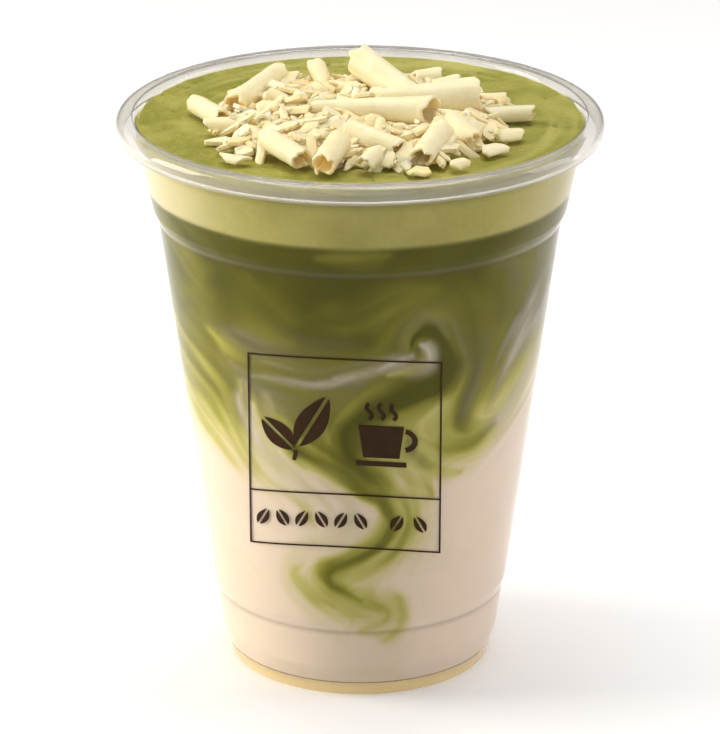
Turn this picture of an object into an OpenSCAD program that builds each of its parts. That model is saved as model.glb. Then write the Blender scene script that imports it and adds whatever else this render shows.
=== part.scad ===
// Iced matcha latte in a clear thermoformed cup: milk, matcha, pale foam and a green
// dusting, topped with a loose heap of white chocolate shavings and rolled curls.
// Millimetres. The origin is the middle of the standing ring, on the table, and Z is up.

/* [Cup] */
// Outside diameter of the rolled rim
rim_d = 98; // [80:0.5:120]
// Height from the table to the top of the rim
cup_h = 116; // [95:0.5:140]
// Thickness of the thermoformed wall
wall = 0.5; // [0.4:0.05:0.65]
// Radial width of the rolled rim
rim_w = 3.9; // [3.2:0.1:5]
// Height of the rolled rim, from its crown to its curled lip
rim_t = 4; // [3.4:0.1:4.8]
// How far the body's wall leans out from upright, in degrees
taper = 7.6; // [4:0.1:9.5]

/* [Cup levels] */
// Depth of the collar, from the crown of the rim to the foot of its shoulder
collar_h = 21.3; // [17:0.1:26]
// Height of the collar's shoulder
shoulder_h = 2.7; // [2:0.1:3.4]
// How far the shoulder stands out from the body
shoulder_w = 1.2; // [0.8:0.1:1.6]
// How much the collar widens between its shoulder and the rim, on each side
collar_flare = 3.2; // [2:0.1:4.5]
// Height of the lower step above the table
low_step_z = 15; // [12:0.1:19]
// Height of the lower step itself
low_step_h = 2.5; // [2:0.1:3.4]
// How far the lower step goes in
low_step_w = 0.7; // [0.4:0.1:1]
// Height of the drink's floor above the table
floor_z = 3; // [2.6:0.1:4.2]
// Height of the rounded corner above the floor
corner_h = 3.5; // [3:0.1:5]
// How far the corner goes in, from the wall to the floor
corner_w = 1.2; // [0.8:0.1:1.8]
// Depth of the hollow under the base
recess_h = 1.6; // [1.2:0.1:2.2]
// Width of the flat that the cup stands on
stand_w = 1.4; // [1:0.1:2.4]

/* [Drink] */
// Depth of the drink's surface below the crown of the rim
fill_gap = 1.8; // [1.6:0.1:3]
// Thickness of the green dusting on top
dusting_t = 1.4; // [1:0.1:2]
// Thickness of the pale foam under the dusting
foam_t = 11.3; // [8:0.1:13]
// Mean height of the level where milk and matcha meet
mix_z = 54; // [40:1:66]
// How far that level rises and falls round the cup
mix_wave = 5; // [0:0.5:8]

/* [Topping] */
// Bare drink left between the wall and the furthest curl
bare_margin = 3; // [2:0.25:8]
// Height of the heap of shavings at its middle
heap_h = 4.6; // [3:0.1:6]
// Thickness of a curl's sheet of chocolate
sheet_t = 0.6; // [0.5:0.05:0.8]
// Gap between a curl and the shavings that it lies in
seat_gap = 0.1; // [0.05:0.05:0.3]

/* [Hidden] */
$fn = 96;
corner_steps = 6;

mouth_r = rim_d / 2 - rim_w;
surface_z = cup_h - fill_gap;
foam_top_z = surface_z - dusting_t;
foam_z = foam_top_z - foam_t;
shoulder_z = cup_h - collar_h;

// ---- Section of the cup ----------------------------------------------------------

function unit(v) = v / norm(v);

// An arc in place of the corner b of the path a-b-c, tangent to both of its legs.
function arc_corner(a, b, c, r) =
    let (u = unit(a - b), v = unit(c - b),
         half = acos(max(-1, min(1, u * v))) / 2,
         reach = r / tan(half),
         centre = b + unit(u + v) * r / sin(half),
         p = b + u * reach - centre,
         q = b + v * reach - centre,
         turn = atan2(p.x * q.y - p.y * q.x, p * q))
    [for (i = [0:corner_steps])
        let (t = turn * i / corner_steps)
        centre + [p.x * cos(t) - p.y * sin(t), p.x * sin(t) + p.y * cos(t)]];

// A path with each inner corner [r, z, radius] replaced by its arc.
function rounded(path) = [
    for (i = [0:len(path) - 1])
        let (here = [path[i].x, path[i].y])
        each (i == 0 || i == len(path) - 1 || path[i].z == 0) ? [here]
            : arc_corner([path[i - 1].x, path[i - 1].y], here,
                         [path[i + 1].x, path[i + 1].y], path[i].z)];

// The path moved sideways by d, to its right where d is over 0.
function beside(path, d) = [
    for (i = [0:len(path) - 1])
        let (before = i > 0 ? unit(path[i] - path[i - 1]) : unit(path[1] - path[0]),
             after = i < len(path) - 1 ? unit(path[i + 1] - path[i]) : before,
             along = unit(before + after),
             stretch = 1 / max(0.5, along * after))
        path[i] + [along.y, -along.x] * d * stretch];

// Outside radii of the body, from the collar down to the floor.
body_top_r = mouth_r - collar_flare - shoulder_w;
body_foot_r = body_top_r - (shoulder_z - low_step_z - low_step_h) * tan(taper);
foot_top_r = body_foot_r - low_step_w;
foot_r = foot_top_r - (low_step_z - floor_z - corner_h) * tan(taper);
floor_r = foot_r - corner_w;

// The middle of the sheet from the floor, up the wall, over the rim and round its lip.
half_wall = wall / 2;
crown_z = cup_h - half_wall;
skirt_r = rim_d / 2 - half_wall;
lip_z = cup_h - rim_t + half_wall;
mouth_lean = 0.2;
skirt_lean = 0.55;
lip_w = 1.2;
step_round = 0.8;
sheet_path = rounded([
    [floor_r - half_wall, floor_z, 0],
    [foot_r - half_wall, floor_z + corner_h, 2],
    [foot_top_r - half_wall, low_step_z, step_round],
    [body_foot_r - half_wall, low_step_z + low_step_h, step_round],
    [body_top_r - half_wall, shoulder_z, step_round],
    [body_top_r + shoulder_w - half_wall, shoulder_z + shoulder_h, step_round],
    [mouth_r - mouth_lean - half_wall, cup_h - rim_t, 4],
    [mouth_r - half_wall, crown_z, 1.3],
    [skirt_r + skirt_lean / 2, crown_z, 1.5],
    [skirt_r - skirt_lean / 2, lip_z, 0.5],
    [skirt_r - skirt_lean / 2 - lip_w, lip_z + 0.2, 0]]);

outer_side = beside(sheet_path, half_wall);
inner_side = beside(sheet_path, -half_wall);
inside_z = inner_side[0].y;

// The clear ring under the floor that the cup stands on.
stand_round = 0.6;
stand_r = floor_r - 0.7;
recess_r = stand_r - stand_round - stand_w;
foot_side = rounded([
    [recess_r, 0, 0],
    [stand_r, 0, stand_round],
    [floor_r, floor_z, 0]]);

module cup() {
    color([0.93, 0.94, 0.94, 0.35])
    rotate_extrude()
    polygon(concat(
        [[0, recess_h], [recess_r - recess_h / 2, recess_h]],
        [for (i = [0:len(foot_side) - 2]) foot_side[i]],
        outer_side,
        [for (i = [len(inner_side) - 1:-1:0]) inner_side[i]],
        [[0, inside_z]]));
}

// ---- Drink -----------------------------------------------------------------------

// The part of the inner side that the drink can reach: from the floor to the mouth.
wet_side = [for (p = inner_side) if (p.x < mouth_r && p.y < cup_h - wall) p];
wet_table = [for (p = wet_side) [p.y, p.x]];

function inner_r(z) = lookup(z, wet_table);

// Everything inside the cup between two levels, exactly as wide as the wall allows.
module level(low, high) {
    rotate_extrude()
    polygon(concat(
        [[0, low], [inner_r(low), low]],
        [for (p = wet_side) if (p.y > low + 0.01 && p.y < high - 0.01) p],
        [[inner_r(high), high], [0, high]]));
}

// Where milk and matcha meet: low at the left, high at the right, level at the middle.
mix_sectors = 24;
mix_rings = 3;
mix_reach = rim_d / 2;

function mix_level(angle, share) =
    mix_z + mix_wave * share * (0.75 * cos(angle - 10) + 0.25 * sin(2 * angle - 40));

// A block above that level, as wide as the rim, to divide the drink with.
module over_the_mix() {
    ring = [for (j = [1:mix_rings]) for (i = [0:mix_sectors - 1])
        let (a = 360 * i / mix_sectors, share = j / mix_rings)
        [mix_reach * share * cos(a), mix_reach * share * sin(a), mix_level(a, share)]];
    lid = [for (i = [0:mix_sectors - 1])
        let (a = 360 * i / mix_sectors)
        [mix_reach * cos(a), mix_reach * sin(a), cup_h]];
    lid_start = 1 + mix_rings * mix_sectors;
    function at(j, i) = 1 + j * mix_sectors + i % mix_sectors;
    polyhedron(
        points = concat([[0, 0, mix_z]], ring, lid),
        faces = concat(
            [for (i = [0:mix_sectors - 1]) [0, at(0, i), at(0, i + 1)]],
            [for (j = [0:mix_rings - 2]) for (i = [0:mix_sectors - 1])
                each [[at(j, i), at(j + 1, i), at(j + 1, i + 1)],
                      [at(j, i), at(j + 1, i + 1), at(j, i + 1)]]],
            [for (i = [0:mix_sectors - 1])
                each [[at(mix_rings - 1, i), at(mix_rings, i), at(mix_rings, i + 1)],
                      [at(mix_rings - 1, i), at(mix_rings, i + 1), at(mix_rings - 1, i + 1)]]],
            [[for (i = [mix_sectors - 1:-1:0]) lid_start + i]]));
}

module milk() {
    color([0.90, 0.85, 0.77])
    difference() {
        level(inside_z, mix_z + mix_wave + 1);
        over_the_mix();
    }
}

module matcha() {
    color([0.38, 0.38, 0.10])
    intersection() {
        level(mix_z - mix_wave - 1, foam_z);
        over_the_mix();
    }
}

module foam() {
    color([0.70, 0.66, 0.42])
    level(foam_z, foam_top_z);
}

module dusting() {
    color([0.62, 0.61, 0.30])
    level(foam_top_z, surface_z);
}

// ---- Topping ---------------------------------------------------------------------

// The curls are laid out in millimetres on a drink whose surface has a radius of
// layout_r, and the whole topping is scaled with the surface that it lies on.
layout_r = 41.8;
topping_scale = (inner_r(surface_z) - bare_margin) / layout_r;

// [tail x, y, lift], [head x, y, lift], diameter at tail and head, turns, spin.
// Lift is the axis' height over the drink, and spin turns the seam round the axis.
CURLS = [
    // long rolls on top of the heap
    [[10.4, 1.6, 4.0], [-0.3, 13.2, 9.2], 6.2, 6.5, 1.30, 200],
    [[3.6, -4.4, 5.6], [23.6, -0.8, 5.0], 3.6, 6.8, 1.35, 150],
    [[-9.4, -7.6, 5.0], [16.1, -11.8, 5.5], 2.4, 5.2, 1.45, 120],
    // rolls round the heap
    [[-25.6, 0.6, 2.8], [-16.4, 18.0, 4.4], 3.8, 3.8, 1.35, 100],
    [[25.4, -3.9, 2.2], [35.2, -0.6, 1.7], 2.8, 2.8, 1.25, 60],
    [[24.6, 7.4, 1.9], [30.6, 9.4, 1.6], 2.3, 2.3, 1.20, 80],
    [[-18.3, -23.4, 3.5], [-11.1, -33.8, 2.4], 3.9, 3.9, 1.30, 40],
    [[-7.2, -37.8, 2.4], [-3.9, -27.6, 4.4], 4.2, 4.2, 1.25, 300],
    [[-2.6, -21.6, 4.8], [8.6, -29.6, 2.8], 3.7, 3.5, 1.20, 210],
    [[11.8, -33.0, 2.4], [16.3, -21.0, 4.5], 3.9, 3.9, 1.30, 170],
    // half-open curls
    [[-33.4, 5.0, 2.0], [-27.6, -6.0, 2.1], 3.4, 3.4, 0.62, 250],
    [[-6.6, 10.4, 3.4], [-9.4, 17.4, 7.6], 3.0, 3.2, 0.80, 140],
    [[-5.4, 7.8, 4.4], [1.4, 6.2, 4.2], 3.0, 2.6, 0.70, 250],
    [[-31.0, -9.6, 1.9], [-24.4, -11.0, 2.4], 2.8, 3.2, 0.60, 250],
    [[18.0, -13.4, 3.4], [22.6, -21.6, 1.4], 5.6, 5.0, 0.45, 10],
    [[0.6, -36.6, 2.0], [3.2, -31.6, 3.2], 3.2, 3.2, 0.62, 240],
    [[-4.6, 14.8, 1.9], [0.2, 19.4, 2.1], 3.0, 3.0, 0.55, 250],
    [[10.6, 20.4, 2.3], [16.4, 23.0, 2.4], 3.6, 3.6, 0.50, 255],
    [[14.6, 14.6, 2.1], [20.4, 17.4, 2.8], 3.4, 3.4, 0.55, 255],
    // broad flakes, barely curved
    [[25.0, -15.4, -0.9], [32.6, -12.6, -0.9], 7.0, 6.4, 0.32, 32],
    [[23.2, -25.2, -0.6], [28.4, -21.4, -0.6], 6.0, 5.6, 0.32, 32],
    [[8.8, -36.4, 2.7], [13.8, -38.0, 2.7], 4.6, 4.6, 0.34, 210],
    [[17.4, -34.2, -0.1], [21.2, -31.6, 0.3], 4.6, 4.6, 0.36, 25],
    [[-27.8, -28.0, -0.1], [-21.2, -30.6, -0.1], 4.4, 4.2, 0.34, 28]];

curl_rings = 2;
steps_per_turn = 14;
ragged = 0.25;
// Distance between the turns of a roll, from middle to middle of the sheet.
winding = 1.15 * sheet_t / topping_scale;

// Points of a sheet rolled round the line from tail to head. grow thickens the sheet.
function curl_point(c, inside, along, step, steps, grow) =
    let (axis = c[1] - c[0],
         u = unit(axis),
         v = unit(cross([0, 0, 1], u)),
         w = cross(u, v),
         turned = c[4] * 360 * step / steps,
         seam = (2 * step / steps - 1) * grow * 360 / (PI * c[2]),
         angle = c[5] + turned + seam,
         outer = (c[2] + (c[3] - c[2]) * along) / 2 - winding * turned / 360 + grow,
         radius = inside ? outer - sheet_t / topping_scale - 2 * grow : outer,
         tear = ragged * sin(131 * step + 70 * along) * (2 * along - 1),
         reach = norm(axis) * along + tear + grow * sign(2 * along - 1))
    c[0] + u * reach + (v * cos(angle) + w * sin(angle)) * radius;

module curl(c, grow = 0) {
    steps = max(5, ceil(c[4] * steps_per_turn));
    count = steps + 1;
    skin = count * (curl_rings + 1);
    function at(side, ring, step) = side * skin + ring * count + step;
    points = [
        for (inside = [false, true])
            for (ring = [0:curl_rings])
                for (step = [0:steps])
                    curl_point(c, inside, ring / curl_rings, step, steps, grow)];
    faces = concat(
        [for (ring = [0:curl_rings - 1]) for (step = [0:steps - 1])
            [at(0, ring, step), at(0, ring + 1, step),
             at(0, ring + 1, step + 1), at(0, ring, step + 1)]],
        [for (ring = [0:curl_rings - 1]) for (step = [0:steps - 1])
            [at(1, ring, step), at(1, ring, step + 1),
             at(1, ring + 1, step + 1), at(1, ring + 1, step)]],
        [for (step = [0:steps - 1])
            [at(0, 0, step), at(0, 0, step + 1), at(1, 0, step + 1), at(1, 0, step)]],
        [for (step = [0:steps - 1])
            [at(0, curl_rings, step), at(1, curl_rings, step),
             at(1, curl_rings, step + 1), at(0, curl_rings, step + 1)]],
        [for (ring = [0:curl_rings - 1])
            [at(0, ring, 0), at(1, ring, 0), at(1, ring + 1, 0), at(0, ring + 1, 0)]],
        [for (ring = [0:curl_rings - 1])
            [at(0, ring, steps), at(0, ring + 1, steps),
             at(1, ring + 1, steps), at(1, ring, steps)]]);
    polyhedron(points = points, faces = faces);
}

module on_the_drink() {
    translate([0, 0, surface_z]) scale(topping_scale) children();
}

module chocolate_curl(i) {
    color([0.95, 0.90, 0.74])
    on_the_drink() curl(CURLS[i]);
}

// The room that a curl needs in the heap: its own outline, and everything over it.
over_the_heap = 12;

module bed(c) {
    hull() {
        curl(c, seat_gap);
        translate([0, 0, over_the_heap]) curl(c, seat_gap);
    }
}

// The heap's outline: an uneven mound, longer to the front than to the back.
heap_sectors = 36;
heap_rings = 6;
heap_edge_t = 0.7;

function heap_reach(a) =
    31.5 - 4.5 * sin(a) + 1.4 * sin(5 * a + 40) + 0.9 * sin(9 * a) + 0.6 * cos(2 * a);

function heap_top(a, share) =
    heap_edge_t + (heap_h / topping_scale - heap_edge_t)
        * pow(1 - share * share, 0.75)
        * (1 + 0.14 * sin(4 * a + 300 * share) + 0.10 * sin(7 * a - 500 * share));

module mound() {
    rings = [for (j = [1:heap_rings]) for (i = [0:heap_sectors - 1])
        let (a = 360 * i / heap_sectors, share = j / heap_rings)
        [heap_reach(a) * share * cos(a), heap_reach(a) * share * sin(a), heap_top(a, share)]];
    base = [for (i = [0:heap_sectors - 1])
        let (a = 360 * i / heap_sectors)
        [heap_reach(a) * cos(a), heap_reach(a) * sin(a), 0]];
    base_start = 1 + heap_rings * heap_sectors;
    function at(j, i) = 1 + j * heap_sectors + i % heap_sectors;
    polyhedron(
        points = concat([[0, 0, heap_h / topping_scale]], rings, base),
        faces = concat(
            [for (i = [0:heap_sectors - 1]) [0, at(0, i + 1), at(0, i)]],
            [for (j = [0:heap_rings - 2]) for (i = [0:heap_sectors - 1])
                each [[at(j, i), at(j, i + 1), at(j + 1, i + 1)],
                      [at(j, i), at(j + 1, i + 1), at(j + 1, i)]]],
            [for (i = [0:heap_sectors - 1])
                each [[at(heap_rings - 1, i), at(heap_rings - 1, i + 1), at(heap_rings, i + 1)],
                      [at(heap_rings - 1, i), at(heap_rings, i + 1), at(heap_rings, i)]]],
            [[for (i = [0:heap_sectors - 1]) base_start + i]]));
}

module shavings() {
    color([0.93, 0.87, 0.70])
    on_the_drink()
    difference() {
        mound();
        for (c = CURLS) bed(c);
    }
}

// ---- The whole latte -------------------------------------------------------------

function curl_name(i) = str("curl_", i < 9 ? "0" : "", i + 1);

cup();
milk();
matcha();
foam();
dusting();
shavings();
for (i = [0:len(CURLS) - 1])
    chocolate_curl(i);
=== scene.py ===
import math

import bmesh
import bpy
import numpy as np
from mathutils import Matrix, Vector


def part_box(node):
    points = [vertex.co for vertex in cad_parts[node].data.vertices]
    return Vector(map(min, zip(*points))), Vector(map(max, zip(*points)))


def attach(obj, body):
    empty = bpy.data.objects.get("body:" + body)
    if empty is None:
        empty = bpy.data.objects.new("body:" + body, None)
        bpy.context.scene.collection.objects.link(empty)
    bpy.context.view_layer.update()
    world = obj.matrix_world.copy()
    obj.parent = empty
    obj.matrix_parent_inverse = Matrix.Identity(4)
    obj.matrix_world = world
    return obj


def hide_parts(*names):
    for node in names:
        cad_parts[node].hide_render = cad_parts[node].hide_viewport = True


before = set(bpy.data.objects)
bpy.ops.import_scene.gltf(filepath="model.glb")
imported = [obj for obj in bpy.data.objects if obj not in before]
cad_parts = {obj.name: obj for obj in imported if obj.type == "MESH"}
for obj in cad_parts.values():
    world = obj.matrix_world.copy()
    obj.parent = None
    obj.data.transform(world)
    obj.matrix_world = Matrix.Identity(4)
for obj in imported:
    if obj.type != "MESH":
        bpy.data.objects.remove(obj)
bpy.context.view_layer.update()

MM = 0.001
SEED = 13

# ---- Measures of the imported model, in millimetres ---------------------------------


def extent(node):
    """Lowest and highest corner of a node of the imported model, in millimetres."""
    low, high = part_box(node)
    return np.array(low) / MM, np.array(high) / MM


crown_top = float(extent("cup")[1][2])
surface_z = float(extent("dusting")[1][2])
froth_top_z = float(extent("foam")[1][2])
froth_z = float(extent("foam")[0][2])
drink_floor_z = float(extent("milk")[0][2])

rim_r = 49.0
rim_w = 3.9
rim_t = 4.0
mouth_lean = 0.2
skirt_lean = 0.55
lip_w = 1.2
wall = 0.5
half_wall = wall / 2
taper = math.tan(math.radians(7.6))
collar_h = 21.3
collar_flare = 3.2
shoulder_h = 2.7
shoulder_w = 1.2
low_step_z = 15.0
low_step_top = 17.5
low_step_w = 0.7
floor_z = 3.0
corner_top = 6.5
corner_w = 1.2
recess_h = 1.6
stand_inset = 0.7
stand_w = 2.0

mouth_r = rim_r - rim_w
shoulder_z = crown_top - collar_h
body_top_r = mouth_r - collar_flare - shoulder_w
body_foot_r = body_top_r - (shoulder_z - low_step_top) * taper
foot_top_r = body_foot_r - low_step_w
foot_r = foot_top_r - (low_step_z - corner_top) * taper
floor_r = foot_r - corner_w
stand_r = floor_r - stand_inset
recess_r = stand_r - stand_w
lip_z = crown_top - rim_t + half_wall
skirt_r = rim_r - half_wall


# ---- Paths and meshes ---------------------------------------------------------------

def unit(v):
    return v / np.linalg.norm(v)


def arc_corner(before, corner, after, radius, steps):
    """The arc that rounds a corner of a path, tangent to both of its legs."""
    u, v = unit(before - corner), unit(after - corner)
    half = math.acos(max(-1.0, min(1.0, float(u @ v)))) / 2
    centre = corner + unit(u + v) * radius / math.sin(half)
    p = corner + u * radius / math.tan(half) - centre
    q = corner + v * radius / math.tan(half) - centre
    turn = math.atan2(p[0] * q[1] - p[1] * q[0], float(p @ q))
    out = []
    for i in range(steps + 1):
        c, s = math.cos(turn * i / steps), math.sin(turn * i / steps)
        out.append(centre + np.array([p[0] * c - p[1] * s, p[0] * s + p[1] * c]))
    return out


def rounded(path, steps=8):
    """A path of (radius, height, rounding) with each inner corner made an arc."""
    out = []
    for i, (x, z, radius) in enumerate(path):
        here = np.array([x, z])
        if radius == 0 or i in (0, len(path) - 1):
            out.append(here)
        else:
            before, after = np.array(path[i - 1][:2]), np.array(path[i + 1][:2])
            out.extend(arc_corner(before, here, after, radius, steps))
    return np.array(out)


def beside(path, distance):
    """The path moved to its right by a distance."""
    legs = np.diff(path, axis=0)
    legs /= np.linalg.norm(legs, axis=1)[:, None]
    before, after = np.vstack([legs[:1], legs]), np.vstack([legs, legs[-1:]])
    along = before + after
    along /= np.linalg.norm(along, axis=1)[:, None]
    stretch = 1 / np.maximum(0.5, (along * after).sum(1))
    return path + np.column_stack([along[:, 1], -along[:, 0]]) * (distance * stretch)[:, None]


def supported(path, longest=6.0, near=0.5):
    """The path with points added in its long legs, so that shading stays true."""
    out = [path[0]]
    for a, b in zip(path[:-1], path[1:]):
        length = float(np.linalg.norm(b - a))
        if length > 3 * near:
            inner = max(1, math.ceil((length - 2 * near) / longest))
            shares = near / length + np.arange(inner + 1) / inner * (1 - 2 * near / length)
            out.extend(a + (b - a) * s for s in shares)
        out.append(b)
    return np.array(out)


def new_piece(name, points, faces, finish, smooth_below=None):
    """A mesh object at the origin, from points in millimetres."""
    mesh = bpy.data.meshes.new(name)
    mesh.from_pydata((np.asarray(points, float) * MM).tolist(), [], faces)
    mesh.polygons.foreach_set("use_smooth", [True] * len(mesh.polygons))
    if smooth_below is not None:
        mesh.set_sharp_from_angle(angle=math.radians(smooth_below))
    mesh.materials.append(finish)
    mesh.update()
    piece = bpy.data.objects.new(name, mesh)
    bpy.context.scene.collection.objects.link(piece)
    return piece


def give_values(piece, name, values):
    """Stores one number, or one vector, for each point of a piece's mesh."""
    values = np.asarray(values, np.float32)
    if values.ndim == 1:
        piece.data.attributes.new(name, "FLOAT", "POINT").data.foreach_set("value", values)
    else:
        layer = piece.data.attributes.new(name, "FLOAT_VECTOR", "POINT")
        layer.data.foreach_set("vector", values.ravel())


def ring_faces(rings, around):
    """Faces between rings of points, each a list of point numbers. A pole repeats one."""
    faces = []
    for low, high in zip(rings[:-1], rings[1:]):
        for i in range(around):
            j = (i + 1) % around
            corners = dict.fromkeys((low[i], low[j], high[j], high[i]))
            faces.append(tuple(corners))
    return faces


def lathe(name, outline, around, finish, smooth_below=None):
    """Turns an outline of (radius, height), which starts and ends on the axis, about Z."""
    turn = np.arange(around) * 2 * math.pi / around
    points, rings = [], []
    for radius, height in outline:
        start = len(points)
        if radius < 1e-6:
            points.append((0.0, 0.0, height))
            rings.append([start] * around)
        else:
            points.extend(zip(radius * np.cos(turn), radius * np.sin(turn), [height] * around))
            rings.append(range(start, start + around))
    return new_piece(name, points, ring_faces(rings, around), finish, smooth_below)


# ---- Unevenness -----------------------------------------------------------------------

def eased(x, low, high):
    t = np.clip((x - low) / (high - low), 0, 1)
    return t * t * (3 - 2 * t)


def patches(u, v, seed, wrap=None):
    """Smooth unevenness of about -1 to 1 over u and v, in patches one unit across.
    With wrap, the pattern repeats after that many units of u."""
    across = wrap or 97
    table = np.random.default_rng(seed).uniform(-1, 1, (across, 89))
    iu, iv = np.floor(u).astype(int), np.floor(v).astype(int)
    fu, fv = eased(u - iu, 0, 1), eased(v - iv, 0, 1)
    i0, i1, j0, j1 = iu % across, (iu + 1) % across, iv % 89, (iv + 1) % 89
    low = table[i0, j0] * (1 - fu) + table[i1, j0] * fu
    high = table[i0, j1] * (1 - fu) + table[i1, j1] * fu
    return low * (1 - fv) + high * fv


# ---- Node trees -------------------------------------------------------------------------

class Wiring:
    """Adds nodes to a tree, and sets or links their inputs by name."""

    def __init__(self, tree):
        self.tree = tree

    def add(self, kind, inputs=None, **settings):
        node = self.tree.nodes.new(kind)
        for key, value in settings.items():
            setattr(node, key, value)
        for key, value in (inputs or {}).items():
            self.feed(node.inputs[key], value)
        return node

    def feed(self, socket, value):
        """Links a socket to the one given, or sets it to a plain value."""
        if isinstance(value, bpy.types.NodeSocket):
            self.tree.links.new(value, socket)
        else:
            socket.default_value = value

    def math(self, operation, a, b=0.0, clamp=False):
        return self.add("ShaderNodeMath", {0: a, 1: b}, operation=operation,
                        use_clamp=clamp).outputs[0]

    def mix(self, share, a, b):
        """A blend of two colours. Sockets 6 and 7 are the colour ones."""
        return self.add("ShaderNodeMix", {0: share, 6: a, 7: b}, data_type="RGBA").outputs[2]

    def noise(self, place, scale, detail, roughness, distortion=0.0):
        return self.add("ShaderNodeTexNoise",
                        {"Vector": place, "Scale": scale, "Detail": detail,
                         "Roughness": roughness, "Distortion": distortion}).outputs[0]

    def spread(self, value, low, high, new_low=0.0, new_high=1.0):
        """Maps a range of a value to a new range, with soft ends."""
        return self.add("ShaderNodeMapRange", {0: value, 1: low, 2: high, 3: new_low, 4: new_high},
                        interpolation_type="SMOOTHSTEP").outputs[0]

    def attribute(self, name, output="Fac"):
        return self.add("ShaderNodeAttribute", attribute_name=name).outputs[output]

    def ramp(self, value, stops):
        node = self.add("ShaderNodeValToRGB", {0: value})
        bar = node.color_ramp
        while len(bar.elements) < len(stops):
            bar.elements.new(1.0)
        for element, (place, colour) in zip(bar.elements, stops):
            element.position = place
            element.color = colour
        return node.outputs[0]


def srgb(r, g, b):
    """A linear colour from the usual 0 to 255 numbers."""
    def one(c):
        c /= 255
        return c / 12.92 if c <= 0.04045 else ((c + 0.055) / 1.055) ** 2.4
    return (one(r), one(g), one(b), 1.0)


def new_group(name, kind, inputs, outputs):
    """A node group with named inputs (name, type, value) and outputs (name, type)."""
    group = bpy.data.node_groups.new(name, kind)
    for label, socket_type, value in inputs:
        socket = group.interface.new_socket(label, in_out="INPUT", socket_type=socket_type)
        if value is not None:
            socket.default_value = value
    for label, socket_type in outputs:
        group.interface.new_socket(label, in_out="OUTPUT", socket_type=socket_type)
    wires = Wiring(group)
    start = wires.add("NodeGroupInput")
    end = wires.add("NodeGroupOutput")
    return group, wires, start.outputs, end.inputs


FLOAT, VECTOR, COLOUR = "NodeSocketFloat", "NodeSocketVector", "NodeSocketColor"


def mottle_group():
    """Cloudy lighter and darker patches over a colour, in two sizes."""
    group, wires, given, out = new_group(
        "mottling", "ShaderNodeTree",
        [("Colour", COLOUR, None), ("Second Colour", COLOUR, None), ("Place", VECTOR, None),
         ("Patch Scale", FLOAT, 200.0), ("Fine Scale", FLOAT, 1500.0), ("Amount", FLOAT, 0.5),
         ("Fine Amount", FLOAT, 0.2)],
        [("Colour", COLOUR)])
    large = wires.noise(given["Place"], given["Patch Scale"], 3.0, 0.55)
    small = wires.noise(given["Place"], given["Fine Scale"], 2.0, 0.6)
    patch = wires.math("MULTIPLY", wires.spread(large, 0.35, 0.65), given["Amount"])
    grain = wires.math("MULTIPLY", wires.spread(small, 0.35, 0.65), given["Fine Amount"])
    share = wires.math("ADD", patch, grain, clamp=True)
    colour = wires.mix(share, given["Colour"], given["Second Colour"])
    wires.tree.links.new(colour, out["Colour"])
    return group


def wear_group():
    """Roughness that wanders a little, as on a handled or melted surface."""
    group, wires, given, out = new_group(
        "uneven_gloss", "ShaderNodeTree",
        [("Place", VECTOR, None), ("Scale", FLOAT, 100.0), ("Smoothest", FLOAT, 0.1),
         ("Roughest", FLOAT, 0.3)],
        [("Roughness", FLOAT)])
    noise = wires.noise(given["Place"], given["Scale"], 3.0, 0.6)
    result = wires.spread(noise, 0.3, 0.7, given["Smoothest"], given["Roughest"])
    wires.tree.links.new(result, out["Roughness"])
    return group


def grain_group():
    """Height of a fine surface: soft lumps with fine grain on them."""
    group, wires, given, out = new_group(
        "surface_grain", "ShaderNodeTree",
        [("Place", VECTOR, None), ("Lump Scale", FLOAT, 300.0), ("Grain Scale", FLOAT, 2500.0),
         ("Grain Share", FLOAT, 0.3)],
        [("Height", FLOAT)])
    lumps = wires.noise(given["Place"], given["Lump Scale"], 2.0, 0.5)
    grain = wires.noise(given["Place"], given["Grain Scale"], 2.0, 0.6)
    height = wires.math("ADD", lumps, wires.math("MULTIPLY", grain, given["Grain Share"]))
    wires.tree.links.new(height, out["Height"])
    return group


MOTTLING, UNEVEN_GLOSS, SURFACE_GRAIN = mottle_group(), wear_group(), grain_group()


def placed_group(wires, group, inputs):
    """Puts a group in a material, with its inputs given by name."""
    return wires.add("ShaderNodeGroup", inputs, node_tree=group).outputs[0]


def new_finish(name):
    """An empty material, its wiring and the object's own coordinates."""
    finish = bpy.data.materials.new(name)
    finish.use_nodes = True
    finish.node_tree.nodes.clear()
    wires = Wiring(finish.node_tree)
    place = wires.add("ShaderNodeTexCoord").outputs["Object"]
    return finish, wires, place


def end_finish(wires, shader):
    wires.tree.links.new(shader, wires.add("ShaderNodeOutputMaterial").inputs["Surface"])


# ---- Finishes -------------------------------------------------------------------------

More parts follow.
